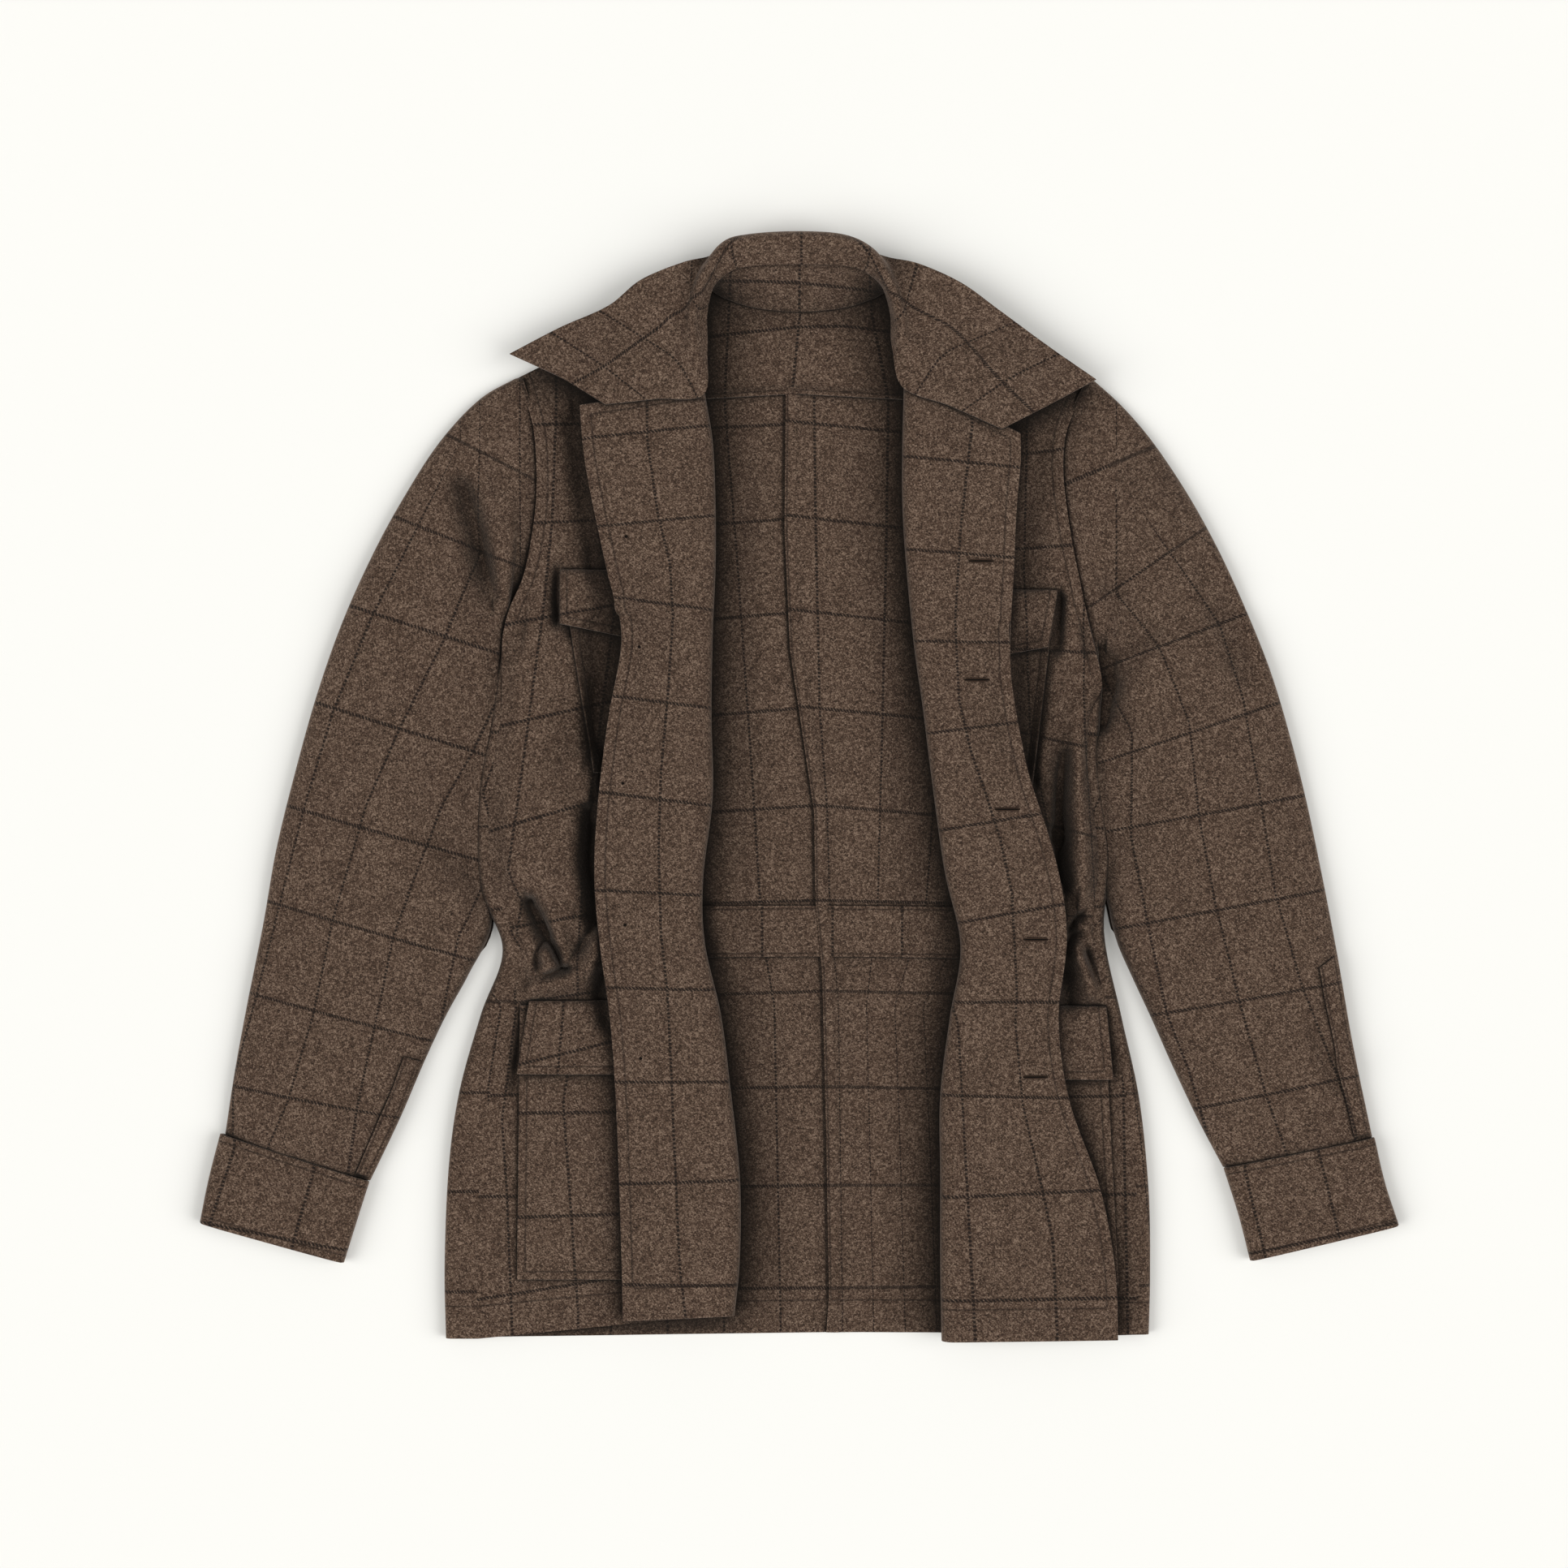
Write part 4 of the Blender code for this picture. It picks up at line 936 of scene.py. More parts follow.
def front_points(side):
    """A front panel: its layer over the back, the roll at its inner edge and the strip turned back."""
    front, inward = side.front, side.inward
    names = ("side_x", "side_y", "fold_x", "fold_y", "edge_x", "edge_y")
    at = front_rows(front)
    sx, sy, fx, fy, ex, ey = spline(columns(front, *names), at).T[..., None]
    heights = columns(front, "side_z", "fold_z", "edge_z", "puff", "wrap")
    side_z, fold_z, edge_z, puff, wrap = spline(heights, at).T[..., None]
    wrap = np.maximum(wrap * below_armpit(at)[:, None], SEAM_GAP)
    apex = fx - inward * (1.5 * CLOTH + LAYER_GAP)
    rolls = (at <= FOLD_TOP)[:, None]

    across = np.linspace(0, 1, FRONT_STEPS + 1)[None]
    start = sx + inward * wrap
    stop = np.where(rolls, apex - inward * FOLD_RADIUS, fx - inward * SEAM_GAP)
    x = start + (stop - start) * across
    y = sy + (fy - sy) * across
    z = side_z + (fold_z - side_z) * across + puff * np.sin(math.pi * across)
    free = np.sin(math.pi * np.minimum(across * 4, 0.5))
    raised = relief(x, y, side.front_folds) + creases(x, y, side.front_creases)
    z += (raised + FRONT_WAVES * uneven(x, y)) * free
    lower = np.stack([x, y, np.maximum(z, LOWEST_FRONT)], axis=2)

    turn = np.linspace(0, math.pi, FOLD_STEPS + 1)[None, 1:]
    x = stop + inward * FOLD_RADIUS * np.sin(turn)
    z = fold_z + FOLD_RADIUS * (1 - np.cos(turn))
    roll = np.stack([x, fy + 0 * x, z], axis=2)

    across = np.linspace(0, 1, STRIP_STEPS + 1)[None, 1:]
    x = stop + (ex - stop) * across
    y = fy + (ey - fy) * across
    z = fold_z + 2 * FOLD_RADIUS + (edge_z - fold_z - 2 * FOLD_RADIUS) * across**2
    z += (creases(x, y, side.strip_creases) + STRIP_WAVES * uneven(x, y)) * np.minimum(across * 4, 1)
    strip = np.stack([x, y, z], axis=2)

    turned = np.concatenate([roll, strip], axis=1)
    turned[~rolls[:, 0]] = np.nan
    return np.concatenate([lower, turned], axis=1)


def facing_points(front):
    """The facing lies on the turned strip, from its free edge to just under the roll."""
    strip_rows = ~np.isnan(front[:, -1, 0])
    under_roll = FRONT_STEPS + FOLD_STEPS // 2 - 1
    return moved_out(front[strip_rows, under_roll:], CLOTH + LAYER_GAP)


def back_height(x, y):
    """Height of the back's middle: creases lift the cloth off the ground."""
    return CLOTH / 2 + np.maximum(creases(x, y, BACK_CREASES) + BACK_WAVES + BACK_WAVES * uneven(x, y), 0)


def back_points(side):
    """One half of the back: from the centre seam, then rolled up at the side to the side seam."""
    front, inward = side.front, side.inward
    at = np.linspace(0, len(front) - 2, BACK_ROWS)
    edge, side_y = spline(columns(front, "side_x", "side_y"), at).T
    sunk = (CLOTH + LAYER_GAP) * (1 - below_armpit(at))
    wrap = spline(columns(front, "wrap"), at)[:, 0] * below_armpit(at)
    top_y = YOKE_SEAM_SIDE - SEAM_GAP
    side_y = np.where(side_y > top_y, top_y, side_y)
    side_y[-1] = top_y
    edge[-1] = side_x(front, top_y)
    low_centre, top_centre = CENTRE_BACK[0].y, YOKE_SEAM_CENTRE - SEAM_GAP
    centre_y = low_centre + (top_centre - low_centre) * at / at[-1]
    seam_x = np.interp(centre_y, *columns(CENTRE_BACK, "y", "x").T)
    centre_x = seam_x - inward * SEAM_GAP / 2 if inward > 0 else seam_x - CENTRE_LAP
    radius = (front[0].side_z - sunk - CLOTH / 2) / 2
    rolled = at < ARMPIT
    stop = edge + inward * np.where(rolled, radius + CLOTH / 2, -ARMHOLE_TUCK / 2)

    across = np.linspace(0, 1, BACK_STEPS + 1)[None] ** BACK_CLOSER
    x = centre_x[:, None] + (stop - centre_x)[:, None] * across
    y = centre_y[:, None] + (side_y - centre_y)[:, None] * across
    still = np.clip((1 - across) * 8, 0, 1)
    z = CLOTH / 2 + (back_height(x, y) - CLOTH / 2) * still
    if inward < 0:
        z += LAP_RISE * smooth_step((seam_x[:, None] + CENTRE_LAP_FROM - x) / LAP_RUN)
    flat = np.stack([x, y, z], axis=2)

    turn = np.linspace(0, math.pi, SIDE_STEPS + 1)[None, 1:]
    x = stop[:, None] - inward * radius[:, None] * np.sin(turn)
    z = CLOTH / 2 + radius[:, None] * (1 - np.cos(turn))
    roll = np.stack([x, side_y[:, None] + 0 * x, z], axis=2)

    seam = edge + inward * np.maximum(wrap + LAYER_GAP, radius + CLOTH / 2 + SEAM_GAP)
    across = np.linspace(0, 1, WRAP_STEPS + 1)[None, 1:]
    x = stop[:, None] + (seam - stop)[:, None] * across
    over = np.stack([x, side_y[:, None] + 0 * x, 0 * x + (front[0].side_z - sunk)[:, None]], axis=2)

    turned = np.concatenate([roll, over], axis=1)
    turned[~rolled] = np.nan
    return np.concatenate([flat, turned], axis=1)


def yoke_points():
    """The back yoke, from its seam up to the shoulders and neck."""
    at = np.linspace(0, len(YOKE) - 1, YOKE_STEPS)
    rows = columns(YOKE, "seam_x", "top_x", "top_y")
    seam_x, top_x, top_y = np.stack([np.interp(at, range(len(YOKE)), column) for column in rows.T])
    ends = [rows[0, 0], CENTRE_BACK[-1].x, rows[-1, 0]]
    seam_y = np.interp(seam_x, ends, [YOKE_SEAM_SIDE, YOKE_SEAM_CENTRE, YOKE_SEAM_SIDE])
    top_y = top_y + NECK_TUCK * (np.abs(top_x) < NECK_HALF)
    rise = np.linspace(0, 1, YOKE_ROWS)[:, None] ** YOKE_CLOSER
    x = seam_x + (top_x - seam_x) * rise
    y = seam_y - YOKE_LAP + (top_y - seam_y + YOKE_LAP) * rise
    still = np.clip((1 - rise) * 4, 0, 1)
    z = CLOTH / 2 + (back_height(x, y) - CLOTH / 2) * still
    z += LAP_RISE * smooth_step((seam_y + YOKE_LAP_FROM - y) / LAP_RUN)
    return np.stack([x, y, z], axis=2)


def casing_points():
    """The drawcord casing, a band on the inside of the back at the waist."""
    waist_y = CASING_TOP - CASING_HEIGHT / 2
    left = side_x(LEFT_FRONT, waist_y) + CASING_INSET
    right = side_x(RIGHT_FRONT, waist_y) - CASING_INSET
    across = np.linspace(0, 1, CASING_STEPS)[None]
    drop = np.linspace(0, 1, CASING_ROWS)[:, None]
    x = left + (right - left) * across + 0 * drop
    y = CASING_TOP - CASING_HEIGHT * drop - CASING_BOW * (2 * across - 1) ** 2
    return np.stack([x, y, back_height(x, y) + CLOTH / 2 + SEAM_GAP + CASING_CLOTH / 2], axis=2)


def arch_rise(across, squareness):
    """Height from 0 to 1 of a flattened arch at parts of the way across it."""
    turned = np.abs(2 * across - 1) ** (1 / squareness)
    return np.sqrt(np.maximum(1 - turned**2, 0)) ** squareness


def edge_steps(count):
    """Steps from 0 to 1 that lie closer together at both ends."""
    even = np.linspace(0, 1, count)
    return EVEN_SHARE * even + (1 - EVEN_SHARE) * (0.5 - 0.5 * np.cos(math.pi * even))


def sleeve_surface(side, at, across):
    """The upper half of a sleeve as a low arch from its outer edge to its inner one."""
    sleeve, front, hang, inward = side.sleeve, side.front, side.hang, side.inward
    outer = line_of(sleeve, "outer", at, "xy")
    inner = line_of(sleeve, "inner", at, "xy")
    clear = side_x(front, inner[:, 1]) - inward * (CLOTH / 2 + SLEEVE_CLEAR)
    touching = smooth_step((inner[:, 1] - ARM_PARTS) / ARM_PARTS_RUN)
    inner[:, 0] += (clear - inner[:, 0]) * touching
    bulge, crown = spline(columns(sleeve, "bulge", "crown"), at).T
    flat = outer[:, None] + (inner - outer)[:, None] * across[None, :, None]
    flat[..., 0] += bulge[:, None] * np.sin(math.pi * across)[None]
    arch = arch_rise(across, SLEEVE_SQUARENESS)[None]
    beside = smooth_step((inner[:, 1] - front[WAIST].side_y) / BESIDE_RUN)[:, None]
    rise = arch * (1 - hang.dip * smooth_step((across - HANG_FROM) / (1 - HANG_FROM))[None] * beside)
    rise *= 1 - beside * (1 - np.sqrt(smooth_step((1 - across) / hang.ease)))[None]
    x, y = flat[..., 0], flat[..., 1]
    ends = np.sqrt(np.sin(math.pi * np.clip(at / (len(sleeve) - 1), 0, 1)))[:, None]
    crown = crown[:, None] + SLEEVE_FULLNESS * ends * np.sin(math.pi * across) ** 2
    edge = SLEEVE_EDGE_Z + hang.lift * beside * ends * across**4
    z = edge + (crown - edge) * rise
    if at[0] == 0:
        x[0] = side_x(front, y[0]) + inward * ARMHOLE_TUCK
        z[0] = np.minimum(z[0], front[-3].side_z - 1.25 * CLOTH)
    free = np.maximum(smooth_step(arch / SLEEVE_STILL), beside * ends * (across > 0.5))
    free = free * smooth_step(at / ARMHOLE_STILL)[:, None]
    raised = relief(x, y, side.sleeve_folds) + creases(x, y, side.sleeve_creases)
    z += (raised + SLEEVE_WAVES * uneven(x, y)) * free
    return np.stack([x, y, np.maximum(z, SLEEVE_EDGE_Z)], axis=2)


def cuff_points(cuff):
    """A buttoned cuff as a flattened band: a flat underside and a low arch over it."""
    at = np.linspace(0, len(cuff) - 1, CUFF_ROWS)
    outer = line_of(cuff, "outer", at, "xy")
    inner = line_of(cuff, "inner", at, "xy")
    crown = spline(columns(cuff, "crown"), at)
    steps = edge_steps(CUFF_STEPS)
    across = np.concatenate([steps, steps[-2:0:-1]])
    over = np.arange(len(across)) < len(steps)
    rise = arch_rise(across, CUFF_SQUARENESS)
    flat = outer[:, None] + (inner - outer)[:, None] * across[None, :, None]
    low = CUFF_CLOTH / 2
    middle = low + CUFF_EDGE * (crown - low)
    z = np.where(over, middle + (crown - middle) * rise, middle - CUFF_FLAT * (middle - low) * rise)
    z = np.maximum(z, low) + np.where(over, CUFF_WAVES * uneven(flat[..., 0], flat[..., 1]) * rise, 0)
    return np.concatenate([flat, z[..., None]], axis=2)


def rounded(points, passes):
    """Rows of points with the corners across each row rubbed smooth."""
    for _ in range(passes):
        points[:, 1:-1] = (points[:, :-2] + 2 * points[:, 1:-1] + points[:, 2:]) / 4
    return points


def stand_edges(at):
    """The stand's neck seam and top edge at row numbers of its table."""
    return line_of(STAND, "neck", at), line_of(STAND, "top", at)


def stand_lip(at):
    """Where the outer leaf ends inside the neck, lapped over the stand's top edge."""
    at = np.clip(at, 0.1, len(STAND) - 1.1)
    neck, top = stand_edges(at)
    up = (top - neck) / np.linalg.norm(top - neck, axis=1, keepdims=True)
    inner = np.cross(up, stand_edges(at + 0.1)[1] - stand_edges(at - 0.1)[1])
    inner /= np.linalg.norm(inner, axis=1, keepdims=True)
    inner *= np.sign(((NECK_CENTRE - top) * inner).sum(axis=1, keepdims=True))
    return top - COLLAR_LIP * up + (CLOTH / 2 + COLLAR_CLOTH / 2 + SEAM_GAP) * inner


def fall_points():
    """The collar's outer leaf: up from its seam, over the roll and down to its free edge."""
    last = len(FALL) - 1
    at = np.linspace(0, last, FALL_ROWS)
    seam, roll, edge = (line_of(FALL, name, at) for name in ("seam", "roll", "edge"))
    crease = spline(columns(FALL, "crease"), at)
    on_stand = smooth_step(np.minimum(at, last - at) - GORGE_ROWS)[:, None]
    seam += (stand_lip(at - GORGE_ROWS) - seam) * on_stand
    outward = (edge - seam) * (1, 1, 0)
    outward *= ROLL_WIDTH / np.linalg.norm(outward, axis=1, keepdims=True)
    drop = crease * (0, 0, ROLL_WIDTH)
    stations = np.stack([seam, roll - outward - drop, roll, roll + outward - drop, edge], axis=1)
    runs = [np.linspace(start, start + 1, count)[:-1] for start, count in enumerate(FALL_RUNS)]
    steps = np.append(np.concatenate(runs), len(FALL_RUNS))
    low = np.minimum(steps.astype(int), len(FALL_RUNS) - 1)
    part = (steps - low)[None, :, None]
    return rounded(stations[:, low] * (1 - part) + stations[:, low + 1] * part, FALL_SMOOTHING)


def stand_points():
    """The collar stand, from the neck seam up to the seam with the outer leaf."""
    neck, top = stand_edges(np.linspace(0, len(STAND) - 1, STAND_ROWS))
    rise = np.linspace(0, 1, STAND_STEPS)[None, :, None]
    return neck[:, None] + (top - neck)[:, None] * rise


def grid_tree(points):
    """A search tree of a grid's faces, in millimetres."""
    row, col, number, there = grid_faces(points, False)
    return BVHTree.FromPolygons(points[there].tolist(), number[row, col].tolist())


def height_at(tree, x, y):
    """The height at which something dropped from overhead meets a grid's faces."""
    return tree.ray_cast(Vector((x, y, OVERHEAD)), Vector((0, 0, -1)))[0].z


def roll_start(side, y):
    """Where a front's roll begins at height y."""
    fold = np.interp(y, *columns(side.front[: FOLD_TOP + 1], "fold_y", "fold_x").T)
    return fold - side.inward * (1.5 * CLOTH + LAYER_GAP + FOLD_RADIUS)


def patch_points(tree, side, shape, lift, point=0.0, curl=0.0, puff=0.0, seat=0.0):
    """A pocket or flap on a front: the panel's own heights, raised by lift.

    Point deepens its middle, curl lifts its lower edge, puff fills it and seat lowers its sewn top edge."""
    across = np.linspace(0, 1, PATCH_STEPS)
    down = np.linspace(0, 1, max(LEAST_PATCH_ROWS, int(shape.height / PATCH_ROW)))
    points = np.zeros((len(down), len(across), 3))
    for i, part in enumerate(down):
        for j, step in enumerate(across):
            y = shape.top_y - (shape.height + point * (1 - abs(2 * step - 1))) * part
            outer = shape.outer_x + side.inward * shape.taper * part
            room = side.inward * (roll_start(side, y) - outer) - PATCH_MARGIN
            x = outer + side.inward * min(shape.width - shape.taper * part, room) * step
            stand_off = curl * max(part**2, part * (1 - step) ** 6)
            stand_off += puff * math.sin(math.pi * part) * math.sin(math.pi * step)
            stand_off -= seat * (1 - smooth_step(shape.height * part / 4))
            points[i, j] = (x, y, height_at(tree, x, y) + lift + stand_off)
    return points


def buttonhole_points(tree, x, y):
    """A worked buttonhole: two lips of thread round a slit."""
    way = np.linspace(-1, 1, 49)[:, None]
    part = np.linspace(-1, 1, 13)[None]
    px = x + BUTTONHOLE_LENGTH / 2 * way + 0 * part
    py = y + BUTTONHOLE_WIDTH / 2 * np.sqrt(np.maximum(1 - way**4, 0.02)) * part
    pz = np.interp(np.abs(part), [0, 0.28, 0.62, 1], [0.12, 0.14, 0.75, -0.3])
    pz = pz + 0.12 * np.abs(part) * np.sin(way * 60)
    return np.stack([px, py, pz + np.array([[height_at(tree, a, y)] for a in px[:, 0]])], axis=2)


def thread_points(tree, x, y):
    """A small knot of thread where a button is sewn on."""
    way = np.linspace(-1, 1, 13)
    across, down = np.meshgrid(way, way)
    round_off = np.sqrt(1 - 0.5 * down**2), np.sqrt(1 - 0.5 * across**2)
    px, py = (THREAD_SPOT / 2 * a * b for a, b in zip((across, down), round_off))
    pz = 0.7 - 0.9 * (across**2 + down**2) + 0.15 * np.sin(across * 7) * np.sin(down * 7)
    return np.stack([x + px, y + py, height_at(tree, x, y) + np.maximum(pz, -0.3)], axis=2)


# Colours of the wool's yarns, the check's dark yarn, the sewing, the painted shade of hollows and slits, the
# horn and the floor
DARK_YARN = (0.0155, 0.0090, 0.0058)
BROWN_YARN = (0.063, 0.0375, 0.0245)
PALE_YARN = (0.210, 0.147, 0.106)
CHECK_YARN = (0.007, 0.0045, 0.0035)
THREAD_COLOUR = (0.050, 0.029, 0.019)
PAINTED_SHADE_COLOUR = (0.004, 0.003, 0.002)
DARK_HORN = (0.014, 0.008, 0.005)
PALE_HORN = (0.085, 0.045, 0.022)
FLOOR_COLOUR = (0.800, 0.793, 0.757)

# Sizes in the cloth's looks, in metres: flecks, ribs, lines of the check from full to none, and stitches
FINE_FLECK = 0.0007
COARSE_FLECK = 0.0013
FLECK_STIR = 0.0016
RIB = 0.0021
WARP_LINE = (0.0005, 0.0014)
WARP_DOT = 0.0029
WARP_DOT_FADE = (0.0004, 0.0011)
WEFT_LINE = (0.0007, 0.0016)
WEFT_DASH = 0.0026
WEFT_DASH_FADE = (0.0004, 0.0010)
GROOVE = (0.0002, 0.0014)
THREAD = (0.0003, 0.0007)
STITCH = 0.0032
STITCH_FADE = (0.0011, 0.0014)

# Painted shade: how far up from a hollow its walls darken the cloth's colour, in metres, and how strongly
PAINTED_SHADE_REACH = 0.05
PAINTED_SHADE_DEPTH = 3.2
PAINTED_SHADE_CLOSES = (0.36, 0.82)


def add(tree, kind, settings=(), **inputs):
    """A shader node with its settings and inputs, where an input is a number, a colour or another socket."""
    node = tree.nodes.new(kind)
    for name, value in settings:
        setattr(node, name, value)
    for name, value in inputs.items():
        socket = node.inputs[int(name[1:])] if name[0] == "i" and name[1:].isdigit() else node.inputs[name]
        if isinstance(value, bpy.types.NodeSocket):
            tree.links.new(value, socket)
        else:
            socket.default_value = value
    return node


def calc(tree, operation, *values):
    """The result of a Math node."""
    inputs = {f"i{k}": value for k, value in enumerate(values)}
    return add(tree, "ShaderNodeMath", [("operation", operation)], **inputs).outputs[0]


def fade(tree, value, near, far):
    """1 up to near, 0 from far on, smooth between."""
    node = add(tree, "ShaderNodeMapRange", [("interpolation_type", "SMOOTHSTEP")], Value=value)
    for name, number in (("From Min", near), ("From Max", far), ("To Min", 1.0), ("To Max", 0.0)):
        node.inputs[name].default_value = number
    return node.outputs[0]


def noise(tree, vector, scale, detail=2.0, roughness=0.55):
    """Cloudy noise from 0 to 1."""
    node = add(tree, "ShaderNodeTexNoise", Vector=vector, Scale=scale, Detail=detail, Roughness=roughness)
    return node.outputs[0]


def repeat_distance(tree, value, repeat):
    """Distance to the nearest whole repeat, in the same unit."""
    turn = calc(tree, "FRACT", calc(tree, "ADD", calc(tree, "DIVIDE", value, repeat), 0.5))
    return calc(tree, "MULTIPLY", calc(tree, "ABSOLUTE", calc(tree, "SUBTRACT", turn, 0.5)), repeat)


def blend(tree, factor, first, second):
    """One colour mixed into another."""
    node = add(tree, "ShaderNodeMix", [("data_type", "RGBA")], i0=factor, i6=first, i7=second)
    return node.outputs[2]


def weighted(tree, *terms):
    """The sum of values times their weights."""
    whole = 0.0
    for weight, value in terms:
        whole = calc(tree, "MULTIPLY_ADD", value, weight, whole)
    return whole


def flecks(tree, vector, size):
    """A random tone from 0 to 1 for each fleck of yarn of that size."""
    node = add(tree, "ShaderNodeTexVoronoi", Vector=vector, Scale=1 / size)
    return add(tree, "ShaderNodeSeparateColor", Color=node.outputs["Color"]).outputs[0]


def new_material(name):
    """A material with its node tree and its shader."""
    made = bpy.data.materials.new(name)
    made.use_nodes = True
    return made, made.node_tree, made.node_tree.nodes["Principled BSDF"]


def surface(tree, shader, colour, height, strength, depth):
    """Gives a shader its colour, and bumps of that depth in metres."""
    tree.links.new(colour, shader.inputs["Base Color"])
    bumps = add(tree, "ShaderNodeBump", Height=height, Strength=strength, Distance=depth)
    tree.links.new(bumps.outputs[0], shader.inputs["Normal"])


def wool_material():
    """Heathered twill of brown wool with a dark windowpane check and sunk topstitching."""
    made, tree, shader = new_material("checked_wool")
    place = add(tree, "ShaderNodeUVMap", [("uv_map", "Cloth")]).outputs[0]
    split = add(tree, "ShaderNodeSeparateXYZ", Vector=place)
    u, v = split.outputs[0], split.outputs[1]

    # Heather: flecks of yarn, crossing fibres, fine ribs and broad clouds
    grain = add(tree, "ShaderNodeTexCoord").outputs["Object"]
    stir = add(tree, "ShaderNodeTexNoise", Vector=grain, Scale=700.0).outputs[1]
    mixing = [("operation", "MULTIPLY_ADD")]
    stirred = add(tree, "ShaderNodeVectorMath", mixing, i0=stir, i1=(FLECK_STIR,) * 3, i2=grain).outputs[0]
    fibres, fibres_across = (
        noise(tree, add(
            tree, "ShaderNodeMapping", Vector=grain, Rotation=(0, 0, math.radians(slant)), Scale=stretch,
        ).outputs[0], 1.0, 2.0, 0.6)
        for slant, stretch in ((35, (700, 1900, 900)), (-50, (640, 1800, 900)))
    )
    clouds = noise(tree, grain, 55.0, 3.0, 0.6)
    wander = calc(tree, "MULTIPLY", calc(tree, "SUBTRACT", noise(tree, place, 160.0), 0.5), 0.0022)
    ribs = calc(tree, "DIVIDE", weighted(tree, (1, u), (0.62, v), (1, wander)), RIB)
    twill = calc(tree, "SINE", calc(tree, "MULTIPLY", ribs, 2 * math.pi))
    mixed = weighted(
        tree, (0.24, flecks(tree, stirred, FINE_FLECK)), (0.20, flecks(tree, stirred, COARSE_FLECK)),
        (0.32, fibres), (0.24, fibres_across), (0.02, twill), (0.10, calc(tree, "SUBTRACT", clouds, 0.5)),
    )
    ramp = add(tree, "ShaderNodeValToRGB", Fac=mixed)
    stops = ramp.color_ramp.elements
    stops[0].position, stops[0].color = 0.30, (*DARK_YARN, 1)
    stops[1].position, stops[1].color = 0.73, (*PALE_YARN, 1)
    middle = stops.new(0.50)
    middle.color = (*BROWN_YARN, 1)

    # Check: slanted dashes along the weft lines and finer dots along the warp lines
    shiver = calc(tree, "MULTIPLY", calc(tree, "SUBTRACT", noise(tree, place, 300.0), 0.5), 0.0012)
    from_warp = repeat_distance(tree, calc(tree, "ADD", u, shiver), WARP_REPEAT * MM)
    from_weft = repeat_distance(tree, calc(tree, "ADD", v, shiver), WEFT_REPEAT * MM)
    dots = fade(tree, repeat_distance(tree, v, WARP_DOT), *WARP_DOT_FADE)
    lean = weighted(tree, (1, u), (0.8, v))
    dashes = fade(tree, repeat_distance(tree, lean, WEFT_DASH), *WEFT_DASH_FADE)
    worn = calc(tree, "MULTIPLY_ADD", noise(tree, place, 120.0), 0.9, 0.5)
    broken = weighted(tree, (1.0, dots), (0.22, worn))
    warp_line = calc(tree, "MULTIPLY", fade(tree, from_warp, *WARP_LINE), broken)
    broken = weighted(tree, (1.0, dashes), (0.28, worn))
    weft_line = calc(tree, "MULTIPLY", fade(tree, from_weft, *WEFT_LINE), broken)
    lines = calc(tree, "MULTIPLY", calc(tree, "MAXIMUM", warp_line, weft_line), worn)
    colour = blend(tree, calc(tree, "MINIMUM", lines, 0.95), ramp.outputs[0], (*CHECK_YARN, 1))

    # Topstitching: a sunk line with thread in it, the line darkened with painted shade
    sewing = add(tree, "ShaderNodeUVMap", [("uv_map", "Stitch")]).outputs[0]
    sewn = add(tree, "ShaderNodeSeparateXYZ", Vector=sewing)
    off_line = calc(tree, "ABSOLUTE", sewn.outputs[0])
    groove = fade(tree, off_line, *GROOVE)
    stitch = fade(tree, repeat_distance(tree, sewn.outputs[1], STITCH), *STITCH_FADE)
    thread = calc(tree, "MULTIPLY", fade(tree, off_line, *THREAD), stitch)
    # Painted shade: the groove's colour is darkened towards the dark yarn
    colour = blend(tree, calc(tree, "MULTIPLY", groove, 0.40), colour, (*DARK_YARN, 1))
    colour = blend(tree, calc(tree, "MULTIPLY", thread, 0.45), colour, (*CHECK_YARN, 1))

    # Painted shade: deep between the folds and layers the colour is darkened towards near-black by how closed
    # in each place is
    open_sky = add(tree, "ShaderNodeAmbientOcclusion", [("samples", 6)], Distance=PAINTED_SHADE_REACH).outputs["AO"]
    closed = calc(tree, "SUBTRACT", 1.0, fade(tree, open_sky, *PAINTED_SHADE_CLOSES))
    lit = calc(tree, "MULTIPLY", calc(tree, "POWER", open_sky, PAINTED_SHADE_DEPTH), closed)
    # The cloth's colour is mixed towards the near-black of the painted shade
    colour = blend(tree, lit, (*PAINTED_SHADE_COLOUR, 1), colour)

    # Nap and ribs in the surface
    height = weighted(tree, (0.8, mixed), (0.08, twill), (-0.12, lines), (-0.9, groove), (0.25, thread))
    surface(tree, shader, colour, height, 0.5, 0.0008)
    shader.inputs["Roughness"].default_value = 0.95
    shader.inputs["Specular IOR Level"].default_value = 0.15
    shader.inputs["Sheen Weight"].default_value = 0.42
    shader.inputs["Sheen Roughness"].default_value = 0.45
    shader.inputs["Sheen Tint"].default_value = (0.62, 0.50, 0.42, 1)
    return made


def thread_material(name, colour):
    """Twisted sewing thread."""
    made, tree, shader = new_material(name)
    place = add(tree, "ShaderNodeTexCoord").outputs["Object"]
    twist = noise(tree, add(tree, "ShaderNodeMapping", Vector=place, Scale=(2600, 700, 900)).outputs[0], 1.0)
    dark = tuple(0.4 * part for part in colour)
    surface(tree, shader, blend(tree, twist, (*dark, 1), (*colour, 1)), twist, 0.5, 0.0003)
    shader.inputs["Roughness"].default_value = 0.9
    shader.inputs["Specular IOR Level"].default_value = 0.1
    return made


